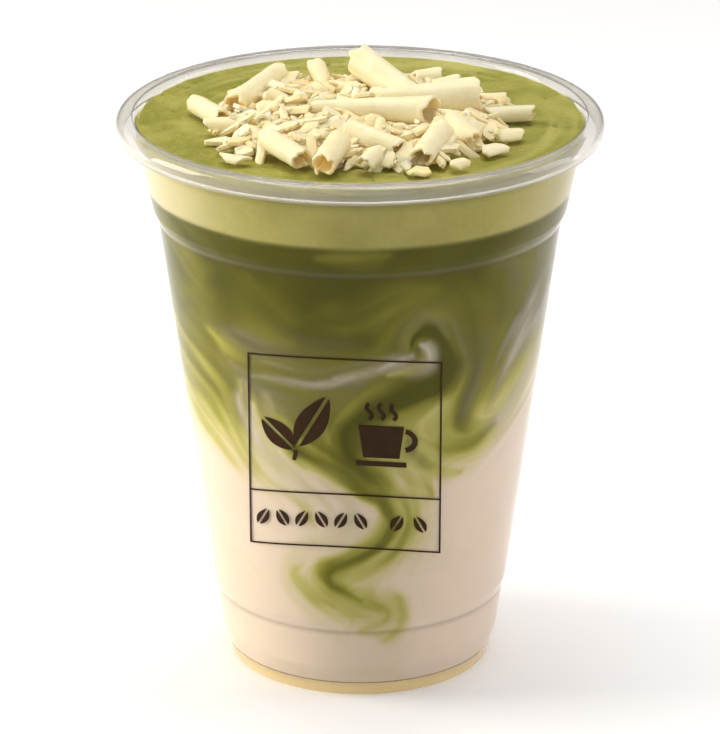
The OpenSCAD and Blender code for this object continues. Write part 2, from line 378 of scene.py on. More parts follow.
def clear_plastic(name, tint, clearness, ior, smoothest, roughest):
    """Thin clear plastic. Its shadow lets the light through to the drink."""
    finish, wires, place = new_finish(name)
    gloss = placed_group(wires, UNEVEN_GLOSS, {"Place": place, "Scale": 60.0,
                                               "Smoothest": smoothest, "Roughest": roughest})
    colour = placed_group(wires, MOTTLING, {
        "Colour": srgb(*tint), "Second Colour": srgb(*(0.97 * c for c in tint)), "Place": place,
        "Patch Scale": 80.0, "Fine Scale": 700.0, "Amount": 0.5, "Fine Amount": 0.2})
    ripple = placed_group(wires, SURFACE_GRAIN, {"Place": place, "Lump Scale": 45.0,
                                                 "Grain Scale": 300.0, "Grain Share": 0.05})
    bump = wires.add("ShaderNodeBump", {"Height": ripple, "Strength": 0.12, "Distance": 0.0006})
    height = wires.add("ShaderNodeSeparateXYZ", {0: place}).outputs["Z"]
    folds = 0.0  # the glossier bands over both steps of the wall
    for low, high, most in ((low_step_z + 0.3, low_step_top + 0.3, 0.6),
                            (shoulder_z + 0.1, shoulder_z + 1.5, 0.32)):
        rise = wires.spread(height, low * MM, (low + 0.6) * MM, 0.0, most)
        fall = wires.spread(height, (high - 0.6) * MM, high * MM, 1.0, 0.0)
        folds = wires.math("ADD", wires.math("MULTIPLY", rise, fall), folds)
    plastic = wires.add("ShaderNodeBsdfPrincipled",
                        {"Base Color": colour, "Roughness": gloss,
                         "Transmission Weight": clearness, "IOR": ior, "Normal": bump.outputs[0],
                         "Coat Weight": folds, "Coat IOR": 1.6, "Coat Roughness": 0.12})
    open_way = wires.add("ShaderNodeBsdfTransparent", {"Color": (0.93, 0.93, 0.92, 1.0)})
    path = wires.add("ShaderNodeLightPath")
    shader = wires.add("ShaderNodeMixShader", {0: path.outputs["Is Shadow Ray"],
                                               1: plastic.outputs[0], 2: open_way.outputs[0]})
    end_finish(wires, shader.outputs[0])
    return finish


def swirled_drink():
    """Milk, tea and froth, blended by the amounts stored on the mesh, with painted shade
    along the wall's two steps and painted side light on the froth band.
    """
    finish, wires, place = new_finish("swirled_drink_finish")
    tea, haze = wires.attribute("tea"), wires.attribute("haze")
    streak, froth = wires.attribute("streak"), wires.attribute("froth")
    cloud = wires.noise(place, 70.0, 3.0, 0.55, 0.6)
    drift = wires.math("MULTIPLY", wires.math("SUBTRACT", cloud, 0.5), 0.30)
    blend = wires.math("MULTIPLY", tea, wires.math("SUBTRACT", 1.0, tea))
    strength = wires.math("ADD", wires.math("MULTIPLY", blend, 0.30),
                          wires.math("MULTIPLY", haze, 0.20))
    strength = wires.math("ADD", strength, 0.012)
    marks = wires.math("MULTIPLY", streak, strength)
    amount = wires.math("ADD", wires.math("ADD", tea, wires.math("MULTIPLY", drift, tea)), marks,
                        clamp=True)
    colour = wires.ramp(amount, [
        (0.0, srgb(224, 206, 186)), (0.10, srgb(213, 199, 164)), (0.25, srgb(192, 183, 114)),
        (0.45, srgb(162, 157, 70)), (0.70, srgb(120, 116, 34)), (1.0, srgb(82, 80, 6))])
    veil = wires.math("ADD", haze, wires.math("MULTIPLY", wires.math("MULTIPLY", streak, haze),
                                              0.60), clamp=True)
    colour = wires.mix(veil, colour, srgb(206, 194, 176))
    pale = placed_group(wires, MOTTLING, {
        "Colour": srgb(176, 168, 98), "Second Colour": srgb(160, 153, 82), "Place": place,
        "Patch Scale": 90.0, "Fine Scale": 900.0, "Amount": 0.6, "Fine Amount": 0.25})
    # The froth band is painted paler away from the front: painted side light.
    pale = wires.mix(wires.attribute("cream_and_painted_side_light"), pale, srgb(206, 196, 158))
    colour = wires.mix(froth, colour, pale)
    # A dark brown line at the low step and the shoulder: painted shade.
    colour = wires.mix(wires.attribute("step_painted_shade"), colour, srgb(86, 62, 40))
    gloss = placed_group(wires, UNEVEN_GLOSS, {"Place": place, "Scale": 120.0,
                                               "Smoothest": 0.42, "Roughest": 0.6})
    body = wires.add("ShaderNodeBsdfPrincipled",
                     {"Base Color": colour, "Roughness": gloss, "IOR": 1.34,
                      "Specular IOR Level": 0.05})
    end_finish(wires, body.outputs[0])
    return finish


def green_froth():
    """The mottled green top, with fine pits and lighter streaks, and painted shade that darkens its
    low spots and pits.
    """
    finish, wires, place = new_finish("green_froth_finish")
    height, swirl = wires.attribute("lift"), wires.attribute("swirl")
    base = placed_group(wires, MOTTLING, {
        "Colour": srgb(166, 162, 78), "Second Colour": srgb(138, 136, 50), "Place": place,
        "Patch Scale": 110.0, "Fine Scale": 1400.0, "Amount": 0.85, "Fine Amount": 0.3})
    colour = wires.mix(wires.spread(swirl, -0.2, 1.0), base, srgb(180, 175, 96))
    # Low spots and pits are painted a darker green: painted shade in the hollows.
    colour = wires.mix(wires.spread(height, -1.0, -0.25, 0.5, 0.0), colour, srgb(118, 114, 42))
    bubbles = wires.add("ShaderNodeTexVoronoi", {"Vector": place, "Scale": 1100.0,
                                                 "Randomness": 1.0})
    pit = wires.spread(bubbles.outputs["Distance"], 0.08, 0.3)
    grain = placed_group(wires, SURFACE_GRAIN, {"Place": place, "Lump Scale": 420.0,
                                                "Grain Scale": 2600.0, "Grain Share": 0.35})
    relief = wires.math("ADD", grain, wires.math("MULTIPLY", pit, 0.25))
    bump = wires.add("ShaderNodeBump", {"Height": relief, "Strength": 0.55, "Distance": 0.0007})
    gloss = placed_group(wires, UNEVEN_GLOSS, {"Place": place, "Scale": 160.0,
                                               "Smoothest": 0.38, "Roughest": 0.62})
    body = wires.add("ShaderNodeBsdfPrincipled",
                     {"Base Color": colour, "Roughness": gloss, "IOR": 1.36,
                      "Specular IOR Level": 0.35, "Subsurface Weight": 0.12,
                      "Subsurface Scale": 0.001, "Normal": bump.outputs[0]})
    body.inputs["Subsurface Radius"].default_value = (1.0, 0.9, 0.4)
    end_finish(wires, body.outputs[0])
    return finish


def white_chocolate():
    """Creamy chocolate with the fine lines that the scraper leaves. Inside the curls a
    deeper gold and a faint painted glow stand for the light that passes through thin chocolate;
    on the heap's core they are painted shade and painted glow in the gaps between the pieces."""
    finish, wires, place = new_finish("white_chocolate_finish")
    shade, lay = wires.attribute("shade"), wires.attribute("lay", "Vector")
    cream_and_painted_side_light = placed_group(wires, MOTTLING, {
        "Colour": srgb(250, 240, 204), "Second Colour": srgb(242, 226, 178), "Place": place,
        "Patch Scale": 240.0, "Fine Scale": 2200.0, "Amount": 0.55, "Fine Amount": 0.2})
    # The stored value deepens the cream towards gold: a random tone outside, painted light inside
    # the curls, painted shade on the heap's core.
    colour = wires.mix(wires.math("MULTIPLY", shade, 0.8), cream_and_painted_side_light, srgb(236, 208, 136))
    stretched = wires.add("ShaderNodeMapping", {"Vector": lay, "Scale": (0.10, 2.4, 1.0)})
    lines = wires.noise(stretched.outputs[0], 1.0, 3.0, 0.65)
    colour = wires.mix(wires.spread(lines, 0.55, 0.8, 0.0, 0.35), colour, srgb(226, 205, 150))
    # A faint painted glow where the stored value is high: inside the curls, on the heap's core and
    # on some loose pieces.
    glow = wires.mix(wires.spread(shade, 0.45, 0.85), (0.0, 0.0, 0.0, 1.0),
                     (0.56, 0.40, 0.12, 1.0))
    grain = placed_group(wires, SURFACE_GRAIN, {"Place": place, "Lump Scale": 500.0,
                                                "Grain Scale": 3500.0, "Grain Share": 0.3})
    relief = wires.math("ADD", wires.math("MULTIPLY", lines, 0.8), grain)
    bump = wires.add("ShaderNodeBump", {"Height": relief, "Strength": 0.4, "Distance": 0.0003})
    gloss = placed_group(wires, UNEVEN_GLOSS, {"Place": place, "Scale": 300.0,
                                               "Smoothest": 0.36, "Roughest": 0.55})
    body = wires.add("ShaderNodeBsdfPrincipled",
                     {"Base Color": colour, "Roughness": gloss, "IOR": 1.45,
                      "Subsurface Weight": 0.45, "Subsurface Scale": 0.0014,
                      "Emission Color": glow, "Emission Strength": 0.22,
                      "Normal": bump.outputs[0]})
    body.inputs["Subsurface Radius"].default_value = (1.0, 0.75, 0.4)
    end_finish(wires, body.outputs[0])
    return finish


def brown_ink():
    """Dark brown print, a little patchy, as rolled on plastic."""
    finish, wires, place = new_finish("brown_ink_finish")
    colour = placed_group(wires, MOTTLING, {
        "Colour": srgb(48, 29, 9), "Second Colour": srgb(58, 37, 15), "Place": place,
        "Patch Scale": 400.0, "Fine Scale": 3000.0, "Amount": 0.5, "Fine Amount": 0.4})
    gloss = placed_group(wires, UNEVEN_GLOSS, {"Place": place, "Scale": 500.0,
                                               "Smoothest": 0.35, "Roughest": 0.55})
    body = wires.add("ShaderNodeBsdfPrincipled", {"Base Color": colour, "Roughness": gloss,
                                                  "Specular IOR Level": 0.1})
    end_finish(wires, body.outputs[0])
    return finish


def pale_floor():
    finish, wires, place = new_finish("pale_floor_finish")
    colour = placed_group(wires, MOTTLING, {
        "Colour": (0.93, 0.93, 0.93, 1.0), "Second Colour": (0.91, 0.91, 0.91, 1.0),
        "Place": place, "Patch Scale": 3.0, "Fine Scale": 60.0, "Amount": 0.4,
        "Fine Amount": 0.2})
    body = wires.add("ShaderNodeBsdfPrincipled",
                     {"Base Color": colour, "Roughness": 0.7, "Specular IOR Level": 0.2,
                      "Emission Color": (1.0, 1.0, 1.0, 1.0), "Emission Strength": 0.14})
    end_finish(wires, body.outputs[0])
    return finish


PLASTIC = clear_plastic("clear_plastic_finish", (250, 250, 248), 1.0, 1.23, 0.0, 0.03)
RIM_PLASTIC = clear_plastic("rolled_rim_finish", (240, 238, 232), 0.88, 1.36, 0.02, 0.06)
# The foot's golden tint and lower clearness are painted light: they stand for the warm light seen
# through the clear foot.
FOOT_PAINTED_LIGHT = clear_plastic("foot_painted_light_finish", (255, 232, 176), 0.38, 1.5, 0.05, 0.12)
DRINK, TOP = swirled_drink(), green_froth()
CHOCOLATE, INK, FLOOR = white_chocolate(), brown_ink(), pale_floor()

# ---- Cup --------------------------------------------------------------------------------

STEP_ROUND = 0.8
sheet_path = rounded([
    (floor_r - half_wall, floor_z, 0),
    (foot_r - half_wall, corner_top, 2),
    (foot_top_r - half_wall, low_step_z, STEP_ROUND),
    (body_foot_r - half_wall, low_step_top, STEP_ROUND),
    (body_top_r - half_wall, shoulder_z, STEP_ROUND),
    (body_top_r + shoulder_w - half_wall, shoulder_z + shoulder_h, STEP_ROUND),
    (mouth_r - mouth_lean - half_wall, crown_top - rim_t, 4),
    (mouth_r - half_wall, crown_top - half_wall, 1.3),
    (skirt_r + skirt_lean / 2, crown_top - half_wall, 1.5),
    (skirt_r - skirt_lean / 2, lip_z, 0.5),
    (skirt_r - skirt_lean / 2 - lip_w, lip_z + 0.2, 0)])
wet_path = np.array([p for p in sheet_path if p[0] < mouth_r and p[1] < crown_top - 1.0])


def wall_radius(z):
    """Radius of the middle of the wall at a height."""
    return np.interp(z, wet_path[:, 1], wet_path[:, 0])


def cup():
    fine = supported(sheet_path)
    outer, inner = beside(fine, half_wall), beside(fine, -half_wall)
    foot = rounded([(recess_r, 0.0, 0), (stand_r, 0.0, 0.6), (floor_r, floor_z, 0)])
    below = supported(np.array([(0.0, recess_h), (recess_r - recess_h / 2, recess_h)]))
    above = supported(np.array([inner[0], (0.0, inner[0][1])]))
    outline = np.vstack([below, foot[:-1], outer, inner[::-1], above[1:]])
    piece = lathe("clear_cup", outline, 192, PLASTIC, smooth_below=40)
    piece.data.materials.append(RIM_PLASTIC)
    piece.data.materials.append(FOOT_PAINTED_LIGHT)
    for face in piece.data.polygons:
        radius, height = math.hypot(*face.center[:2]) / MM, face.center[2] / MM
        if radius > mouth_r + 0.6 and height > lip_z - 1:
            face.material_index = 1
        # The foot below the drink's floor takes the third finish, painted golden light.
        elif height < floor_z + 0.05:
            face.material_index = 2
    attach(piece, "root")
    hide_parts("cup")


# ---- Drink --------------------------------------------------------------------------------
# Strokes laid on the drink's side as if it were unrolled, one over another. Each is
# (tea level, paleness, strength, strands, points), and a point is (degrees from the front,
# height, half width). None leaves that amount as it is.

MM_PER_RADIAN = 36.0
FIELD_STROKES = [
    # soft fields of the upper body
    (0.72, None, 0.8, 0.2, [(-78, 97, 8), (-64, 90, 8), (-56, 84, 7)]),
    (0.66, None, 0.6, 0.3, [(-10, 99.6, 1.8), (0, 99.2, 2.2), (7, 99.6, 1.8)]),
    (0.72, None, 0.7, 0.5, [(-14, 86, 2.5), (-4, 86, 3), (8, 88, 3), (20, 90.5, 3)]),
    (0.66, None, 0.6, 0.4, [(-58, 86, 4), (-46, 82, 4.5), (-34, 80, 4), (-22, 79.5, 3)]),
    (0.86, None, 0.7, 0.3, [(-32, 92, 5), (-26, 86, 5), (-24, 82, 4)]),
    (0.58, None, 0.9, 0.3, [(8, 78, 6), (15, 83, 7), (24, 83, 6), (32, 78, 4.5)]),
    (0.86, 0.10, 0.8, 0.3, [(44, 94, 8), (58, 93, 9), (76, 93, 9), (96, 92, 9)]),
    # yellow-green lobe on the left, and the milk under it
    (0.48, 0, 0.8, 0.15, [(-104, 74, 9), (-84, 70, 8), (-68, 66, 7), (-55, 62, 6.5),
     (-47, 58, 4.5)]),
    (0.62, 0, 0.7, 0.25, [(-76, 76, 5), (-58, 72, 6), (-46, 67, 5), (-41, 61, 3.5)]),
    (0.34, None, 0.75, 0.6, [(-56, 56, 4), (-45, 53, 3.6), (-34, 49.5, 3), (-26, 46.5, 2.6),
     (-19, 43.5, 2.4), (-15, 39.5, 2)]),
    (0, None, 0.8, 0.2, [(-95, 55, 5), (-75, 50, 5), (-60, 47, 4.5), (-48, 44.5, 4),
     (-38, 42, 4)]),
    # green arm on the right, then the pale cloud beside it
    (0.82, None, 0.85, 0.2, [(30, 88, 6), (39, 80, 8), (40, 70, 8), (36, 62, 7)]),
    (0.44, None, 0.7, 0.4, [(52, 62, 5), (42, 57, 5), (31, 54, 4), (20, 51, 3)]),
    (None, 0.40, 0.8, 0.2, [(62, 82, 6), (59, 76, 7.5), (57, 69, 8), (56, 62, 8.5),
     (54, 54, 8)]),
    (None, 0.44, 0.8, 0.1, [(104, 80, 8), (88, 75, 9), (76, 69, 9.5), (68, 60, 10)]),
    (0, None, 0.85, 0.3, [(115, 62, 11), (88, 57, 11), (66, 51, 9), (50, 46.5, 6),
     (36, 42, 4)]),
    # the broad pale band over the frame
    (0.62, 0.22, 0.75, 0.7, [(-52, 79, 3), (-44, 76.4, 4.6), (-34, 74, 5.6), (-20, 72.4, 5.4),
     (-6, 73, 4.8), (6, 75, 3.8), (14, 77.4, 2.6)]),
]

BAND_STROKES = [
    # thin pale bands, and the milk between the streams
    (None, 0.34, 0.75, 0.9, [(-50, 79.5, 0.8), (-42, 76.4, 1.2), (-34, 75, 1.2), (-22, 74.2, 0.9)]),
    (None, 0.36, 0.75, 0.9, [(-34, 71.6, 0.8), (-22, 71.4, 1.1), (-10, 72, 1.1), (-2, 73, 0.8)]),
    (None, 0.46, 0.8, 0.8, [(-8, 73.4, 1), (2, 74.6, 1.5), (9, 76, 1.7), (15, 78, 1.5)]),
    (0.42, 0.34, 0.8, 0.8, [(-38, 69, 2.8), (-37, 62, 3.4), (-33, 56, 3.4), (-28, 52, 3)]),
    (0.12, 0.5, 0.95, 0.4, [(-35.5, 64, 1.6), (-35, 58.4, 2.8), (-30, 53.4, 3.6),
     (-21, 49.8, 3.4), (-12, 46.4, 3.2), (-5, 43, 2.8), (-3.4, 39, 2.4), (-4, 36, 1.8)]),
    (0.5, 0.2, 0.7, 0.9, [(-30, 67, 2.6), (-26, 61, 2.6), (-23, 56, 2)]),
    # green strands between the bands
    (0.82, 0.04, 0.75, 0.5, [(-50, 82.5, 0.9), (-34, 78.4, 1.1), (-16, 77.2, 1.2), (-2, 78.4, 1),
     (8, 80.5, 0.8)]),
    (0.8, 0.04, 0.75, 0.6, [(-44, 74.4, 0.7), (-30, 73, 0.9), (-16, 73.2, 0.9), (-4, 75, 0.8),
     (6, 77, 0.6)]),
    (0.82, 0.06, 0.75, 0.6, [(-34, 69.4, 0.9), (-20, 69.2, 1.1), (-6, 70.6, 1.1), (6, 72.6, 0.9),
     (16, 75.5, 0.7)]),
]

BETWEEN_STROKES = [
    (0.76, 0.10, 0.65, 0.8, [(-26, 65.4, 0.9), (-14, 66.6, 1.3), (-4, 68.2, 1.4), (8, 70.4, 1.2)]),
    # yellow-green field between the streams
    (0.55, 0.08, 0.8, 0.9, [(25, 65, 4), (19, 60, 4.5), (16, 55, 4.5), (18, 50, 3.6),
     (23, 46, 2.8)]),
    (0.26, None, 0.65, 0.7, [(6, 57, 0.9), (14, 52.6, 1.3), (24, 50, 1.5), (36, 49, 1.7)]),
    (0.52, 0, 0.4, 0.8, [(18, 59, 1.4), (27, 56, 1.8), (38, 55, 2.1), (48, 58, 2.2)]),
]

HOOK_STROKES = [
    # the hook, its sweep, the main stream and the plume's soft body
    (0.64, 0.08, 0.55, 0.9, [(10.6, 78.6, 0.9), (11, 83, 1.1), (16, 86.4, 1.2), (23.5, 85.8, 1.3),
     (30, 81.6, 1.3), (32.6, 75, 1.2), (31, 69, 1.2), (26, 63, 1)]),
    (0.52, 0.10, 0.6, 0.8, [(13, 78.4, 0.7), (12.8, 82, 0.8), (17, 84.8, 0.8), (22.6, 84.2, 0.8),
     (27.4, 80.8, 0.8)]),
    (0.5, 0.38, 0.9, 0.3, [(18, 80.6, 0.9), (21, 79.2, 1.6), (21.4, 76.4, 1.9),
     (16, 74.8, 1.6), (9, 73.6, 1.2)]),
    (1.2, 0, 1, 0.2, [(14.4, 80.2, 0.7), (15.2, 82, 0.8), (18.6, 83.1, 0.9), (22.6, 82.1, 1.1),
     (25.6, 79.4, 1.3), (26.8, 75.8, 1.5), (25.4, 72.4, 1.9), (20, 69.6, 2.2), (11, 67, 2.4),
     (3, 64.6, 2.8), (-3, 61.5, 3)]),
    (0.86, 0, 0.9, 0.7, [(5, 64.5, 3.2), (-1, 61, 4.6), (-3, 57, 5), (0, 52.5, 4.8),
     (6, 48, 4), (10, 43.5, 3.6)]),
    (0.92, 0, 0.7, 0.8, [(3, 62, 1.8), (-1, 58, 2.2), (1, 53, 2), (6, 48.4, 1.8),
     (9.4, 44.5, 1.5)]),
    (0.34, 0, 0.85, 0.4, [(18, 47, 4), (20, 41, 4.6), (13, 35, 5.2), (0, 31.8, 5.2),
     (-12, 30, 5), (-20, 28.4, 4.2), (-16, 25, 4.6), (-6, 22.4, 5.2), (4, 20.6, 5.4),
     (13, 20.2, 4.6)]),
    (0.3, None, 0.7, 0.5, [(15, 22.5, 3.2), (9, 18.5, 4), (2, 15.8, 3.2)]),
]

PLUME_STROKES = [
    # the stream that comes in from the left, and the strands of the plume
    (0.88, 0, 0.8, 0.6, [(-27, 58.6, 1.4), (-20, 56, 2.1), (-11, 53, 2.5), (-3, 50.2, 2.6),
     (4, 47, 2.6)]),
    (0.58, 0, 0.8, 0.8, [(6, 48.5, 4), (12, 44, 3.8), (13, 40, 3.5), (9, 36, 3.3),
     (1, 33, 2.9), (-7, 31.2, 2.8), (-13, 28.8, 2.9), (-12.5, 26.2, 2.7), (-6, 24, 2.5),
     (1, 22.4, 2.4), (7, 21, 2)]),
    (0.38, 0, 0.75, 0.3, [(-12, 27, 3.4), (-4, 24, 4.2), (4, 22, 4.4), (10, 20, 3.8),
     (8, 17.4, 3.2), (0, 15.6, 2.4)]),
    (0.74, 0, 0.65, 0.6, [(8, 45, 2), (11.4, 41, 1.8), (9.2, 37, 1.6), (2, 33.8, 1.3),
     (-6, 31.6, 1.3), (-11.6, 29, 1.3), (-11, 26.6, 1.1), (-6, 24.8, 1), (0, 23.2, 0.7)]),
    (0.1, None, 0.7, 0.4, [(-3, 36.6, 1.1), (-10, 34.4, 1.2), (-19, 33.2, 1.2)]),
    (0.2, None, 0.6, 0.5, [(9, 30, 1.6), (3, 28, 1.4), (-3, 26.6, 0.9)]),
    (0.46, None, 0.6, 0.5, [(-22, 30.4, 1.2), (-24, 28, 1.5), (-19, 24.8, 1.4),
     (-10, 21.4, 1.2)]),
]


def carried_round(strokes, degrees, up):
    """The same strokes elsewhere on the side, for the half away from the print."""
    return [(level, pale, 0.85 * strength, strands,
             [(degrees - 0.8 * a, z + up, 1.1 * half) for a, z, half in points])
            for level, pale, strength, strands, points in strokes]


STROKES = (carried_round(BAND_STROKES + HOOK_STROKES, 176, 2.5) + FIELD_STROKES + BAND_STROKES
           + BETWEEN_STROKES + HOOK_STROKES + PLUME_STROKES)


def spline(points, steps=12):
    """A smooth curve through the points."""
    p = np.array(points, float)
    p = np.vstack([2 * p[0] - p[1], p, 2 * p[-1] - p[-2]])
    t = np.linspace(0, 1, steps, endpoint=False)[:, None]
    out = []
    for a, b, c, d in zip(p[:-3], p[1:-2], p[2:-1], p[3:]):
        out.append(0.5 * (2 * b + (c - a) * t + (2 * a - 5 * b + 4 * c - d) * t ** 2
                          + (3 * b - a - 3 * c + d) * t ** 3))
    return np.vstack(out + [p[-2:-1]])


def swirls(degrees, heights):
    """Amounts of tea, haze and streaks for each point of the drink's side."""
    turn, z = np.meshgrid(degrees, heights, indexing="ij")
    u = np.radians(turn) * MM_PER_RADIAN
    period = 2 * math.pi * MM_PER_RADIAN
    share = (turn + 180) / 360
    at_u = (u + 0.9 * patches(share * 28, z / 8, 1, 28)
            + 0.35 * patches(share * 60, z / 3.6, 2, 60))
    at_z = (z + 0.8 * patches(share * 28, z / 8, 3, 28)
            + 0.3 * patches(share * 60, z / 3.6, 4, 60))
    flow_u = np.full_like(u, 0.3)
    flow_z = 0.1 * patches(share * 10, z / 20, 5, 10)
    tea = eased(at_z + 3 * patches(share * 9, z / 36, 6, 9), 47, 79)
    haze = np.zeros_like(tea)
    for number, (level, pale, strength, strands, points) in enumerate(STROKES):
        p = np.array(points, float)
        p[:, 0] = np.radians(p[:, 0]) * MM_PER_RADIAN
        line = spline(p)
        du = (at_u[..., None] - line[:, 0] + period / 2) % period - period / 2
        far = du ** 2 + (at_z[..., None] - line[:, 1]) ** 2
        nearest = far.argmin(-1)
        away = np.sqrt(far.min(-1))
        along = np.gradient(line[:, :2], axis=0)
        along /= np.linalg.norm(along, axis=1)[:, None] + 1e-9
        along_u, along_z = along[nearest, 0], along[nearest, 1]
        progress = nearest / (len(line) - 1)
        pointed = 0.45 + 0.55 * eased(np.minimum(progress, 1 - progress), 0, 0.22)
        width = line[nearest, 2] * pointed
        across = np.take_along_axis(du, nearest[..., None], -1)[..., 0]
        offset = ((at_z - line[nearest, 1]) * along_u - across * along_z) / width + 4 * number
        bundle = (patches(offset * 1.9 + 50, progress * 3 + number, 300 + number)
                  + 0.6 * patches(offset * 4.3 + 50, progress * 5 + number, 400 + number))
        cover = (np.exp(-0.8 * (away / width) ** 2) * strength
                 * np.clip(1 + strands * (0.55 * bundle - 0.15), 0, 1.25))
        if level is not None:
            tea = tea + (level - tea) * cover
        if pale is not None:
            haze = haze + (pale - haze) * cover
        pull = np.exp(-(away / (2.2 * width + 1.5)) ** 2)
        flow_u = flow_u * (1 - pull) + along_u * pull
        flow_z = flow_z * (1 - pull) + along_z * pull
    speed = np.hypot(flow_u, flow_z) + 1e-6
    return tea, haze, drawn_out(u, z, flow_u / speed, flow_z / speed, period, heights)


def drawn_out(u, z, flow_u, flow_z, period, heights, reach=18, stride=0.6):
    """Fine and coarse grain drawn out along the flow, so that it reads as streaks."""
    count_u, count_z = u.shape
    rng = np.random.default_rng(SEED)
    fine = rng.normal(0, 1, u.shape)
    coarse = rng.normal(0, 1, u.shape)
    for _ in range(3):
        coarse = (np.roll(coarse, 1, 0) + coarse + np.roll(coarse, -1, 0)) / 3
        coarse[:, 1:-1] = (coarse[:, :-2] + coarse[:, 1:-1] + coarse[:, 2:]) / 3
    grain = 0.6 * fine + 0.9 * coarse / coarse.std()

    def sample(field, pu, pz):
        fu = (pu + period / 2) / period * count_u
        fz = (pz - heights[0]) / (heights[-1] - heights[0]) * (count_z - 1)
        iu, iz = np.floor(fu).astype(int), np.clip(np.floor(fz).astype(int), 0, count_z - 2)
        x, y = fu - iu, np.clip(fz - iz, 0, 1)
        iu, ju = iu % count_u, (iu + 1) % count_u
        low = field[iu, iz] * (1 - x) + field[ju, iz] * x
        return low * (1 - y) + (field[iu, iz + 1] * (1 - x) + field[ju, iz + 1] * x) * y

    total = grain.copy()
    for sign in (1, -1):
        pu, pz = u.copy(), z.copy()
        for i in range(reach):
            step_u, step_z = sample(flow_u, pu, pz), sample(flow_z, pu, pz)
            pu, pz = pu + sign * stride * step_u, pz + sign * stride * step_z
            total += sample(grain, pu, pz) * (1 - i / reach)
    return total / total.std()


def drink():
    around, up = 448, 200
    low, high = drink_floor_z - 0.1, froth_top_z + 0.1
    degrees = np.linspace(-180, 180, around, endpoint=False)
    heights = np.linspace(low, high, up)
    tea, haze, streak = swirls(degrees, heights)
    turn = np.radians(degrees - 90)
    radius = wall_radius(heights)
    points = np.stack([np.outer(np.cos(turn), radius), np.outer(np.sin(turn), radius),
                       np.broadcast_to(heights, (around, up))], -1).reshape(-1, 3)
    share = (degrees[:, None] + 180) / 360
    ragged = 0.18 * patches(share * 26, np.zeros_like(share), 7, 26)
    # Over its top few millimetres the band turns back towards the drink's colour: partly the green
    # top soaking down, partly painted shade under the rim.
    froth = (eased(heights[None, :] + ragged, froth_z - 0.5, froth_z + 0.5)
             * (1 - 0.55 * eased(heights[None, :] - ragged, froth_top_z - 4, froth_top_z - 1)))
    rings = [[i * up + j for i in range(around)] for j in range(up)]
    # Thin bands at the low step and the shoulder, which the finish paints dark: painted shade.
    step_painted_shade = (0.30 * np.exp(-((heights - low_step_z) / 0.45) ** 2)
            + 0.25 * np.exp(-((heights - shoulder_z) / 0.5) ** 2))
    step_painted_shade = np.broadcast_to(step_painted_shade, (around, up))
    # A share towards paler froth that grows away from the front: painted side light.
    from_front = np.abs(degrees[:, None] - 4 + 8 * patches(share * 12, share, 8, 12))
    cream_and_painted_side_light = np.broadcast_to(0.85 * eased(from_front, 26, 80), (around, up))
    bottom, top = len(points), len(points) + 1
    points = np.vstack([points, [(0, 0, low)], [(0, 0, high)]])
    rings = [[bottom] * around] + rings + [[top] * around]
    piece = new_piece("swirled_drink", points, ring_faces(rings, around), DRINK, smooth_below=60)
    for name, field in (("tea", tea), ("haze", haze), ("streak", streak), ("froth", froth),
                        ("step_painted_shade", step_painted_shade), ("cream_and_painted_side_light", cream_and_painted_side_light)):
        give_values(piece, name, np.append(field.ravel(), (0.0, 0.5)))
    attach(piece, "root")
    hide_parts("milk", "matcha", "foam")


def green_top():
    around, across = 384, 96
    edge_r = float(wall_radius(surface_z))
    turn = np.arange(around) * 2 * math.pi / around
    radii = np.linspace(0, edge_r, across + 1)[1:]
    r, a = np.meshgrid(radii, turn, indexing="ij")
    x, y = r * np.cos(a), r * np.sin(a)
    share = a / (2 * math.pi)
    streaks = patches(share * 22 + r * 0.05, r / 1.6, 11, 22)
    swirl = (0.6 * streaks + 0.5 * patches(share * 9 + r * 0.03, r / 5, 12, 9))
    lumps = patches(x / 4.5 + 40, y / 4.5 + 40, 13) + 0.6 * patches(x / 1.9 + 40, y / 1.9 + 40, 14)
    pits = eased(patches(x / 1.3 + 40, y / 1.3 + 40, 15), 0.55, 0.9)
    pits *= eased(patches(x / 9 + 40, y / 9 + 40, 16), -0.1, 0.5)
    meniscus = 0.35 * np.exp(-(edge_r - r) / 0.8)
    z = surface_z - 0.12 + 0.10 * lumps + 0.05 * streaks - 0.4 * pits + meniscus
    # Low in the dips and pits; the finish paints low places darker: painted shade.
    lift = 0.35 * lumps - 1.4 * pits
    points = np.stack([x, y, z], -1).reshape(-1, 3)
    rings = [list(range(i * around, (i + 1) * around)) for i in range(across)]
    side = np.column_stack([edge_r * np.cos(turn), edge_r * np.sin(turn),
                            np.full(around, froth_top_z + 0.05)])
    centre = (0, 0, surface_z - 0.12)
    base = (0, 0, froth_top_z + 0.05)
    points = np.vstack([points, side, [centre], [base]])
    first = across * around
    rings = ([[first + around + 1] * around, list(range(first, first + around))]
             + rings[::-1] + [[first + around] * around])
    piece = new_piece("green_top", points, ring_faces(rings, around), TOP, smooth_below=60)
    extra = around + 2
    give_values(piece, "lift", np.append(lift.ravel(), np.zeros(extra)))
    give_values(piece, "swirl", np.append(swirl.ravel(), np.zeros(extra)))
    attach(piece, "root")
    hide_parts("dusting")


# ---- Topping --------------------------------------------------------------------------------
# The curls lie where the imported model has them, a little fuller. Each is (tail), (head),
# diameter at tail and head, turns, and the angle in degrees at which its sheet begins.
# Heights are over the drink, and the whole topping is scaled to the surface that it lies on.

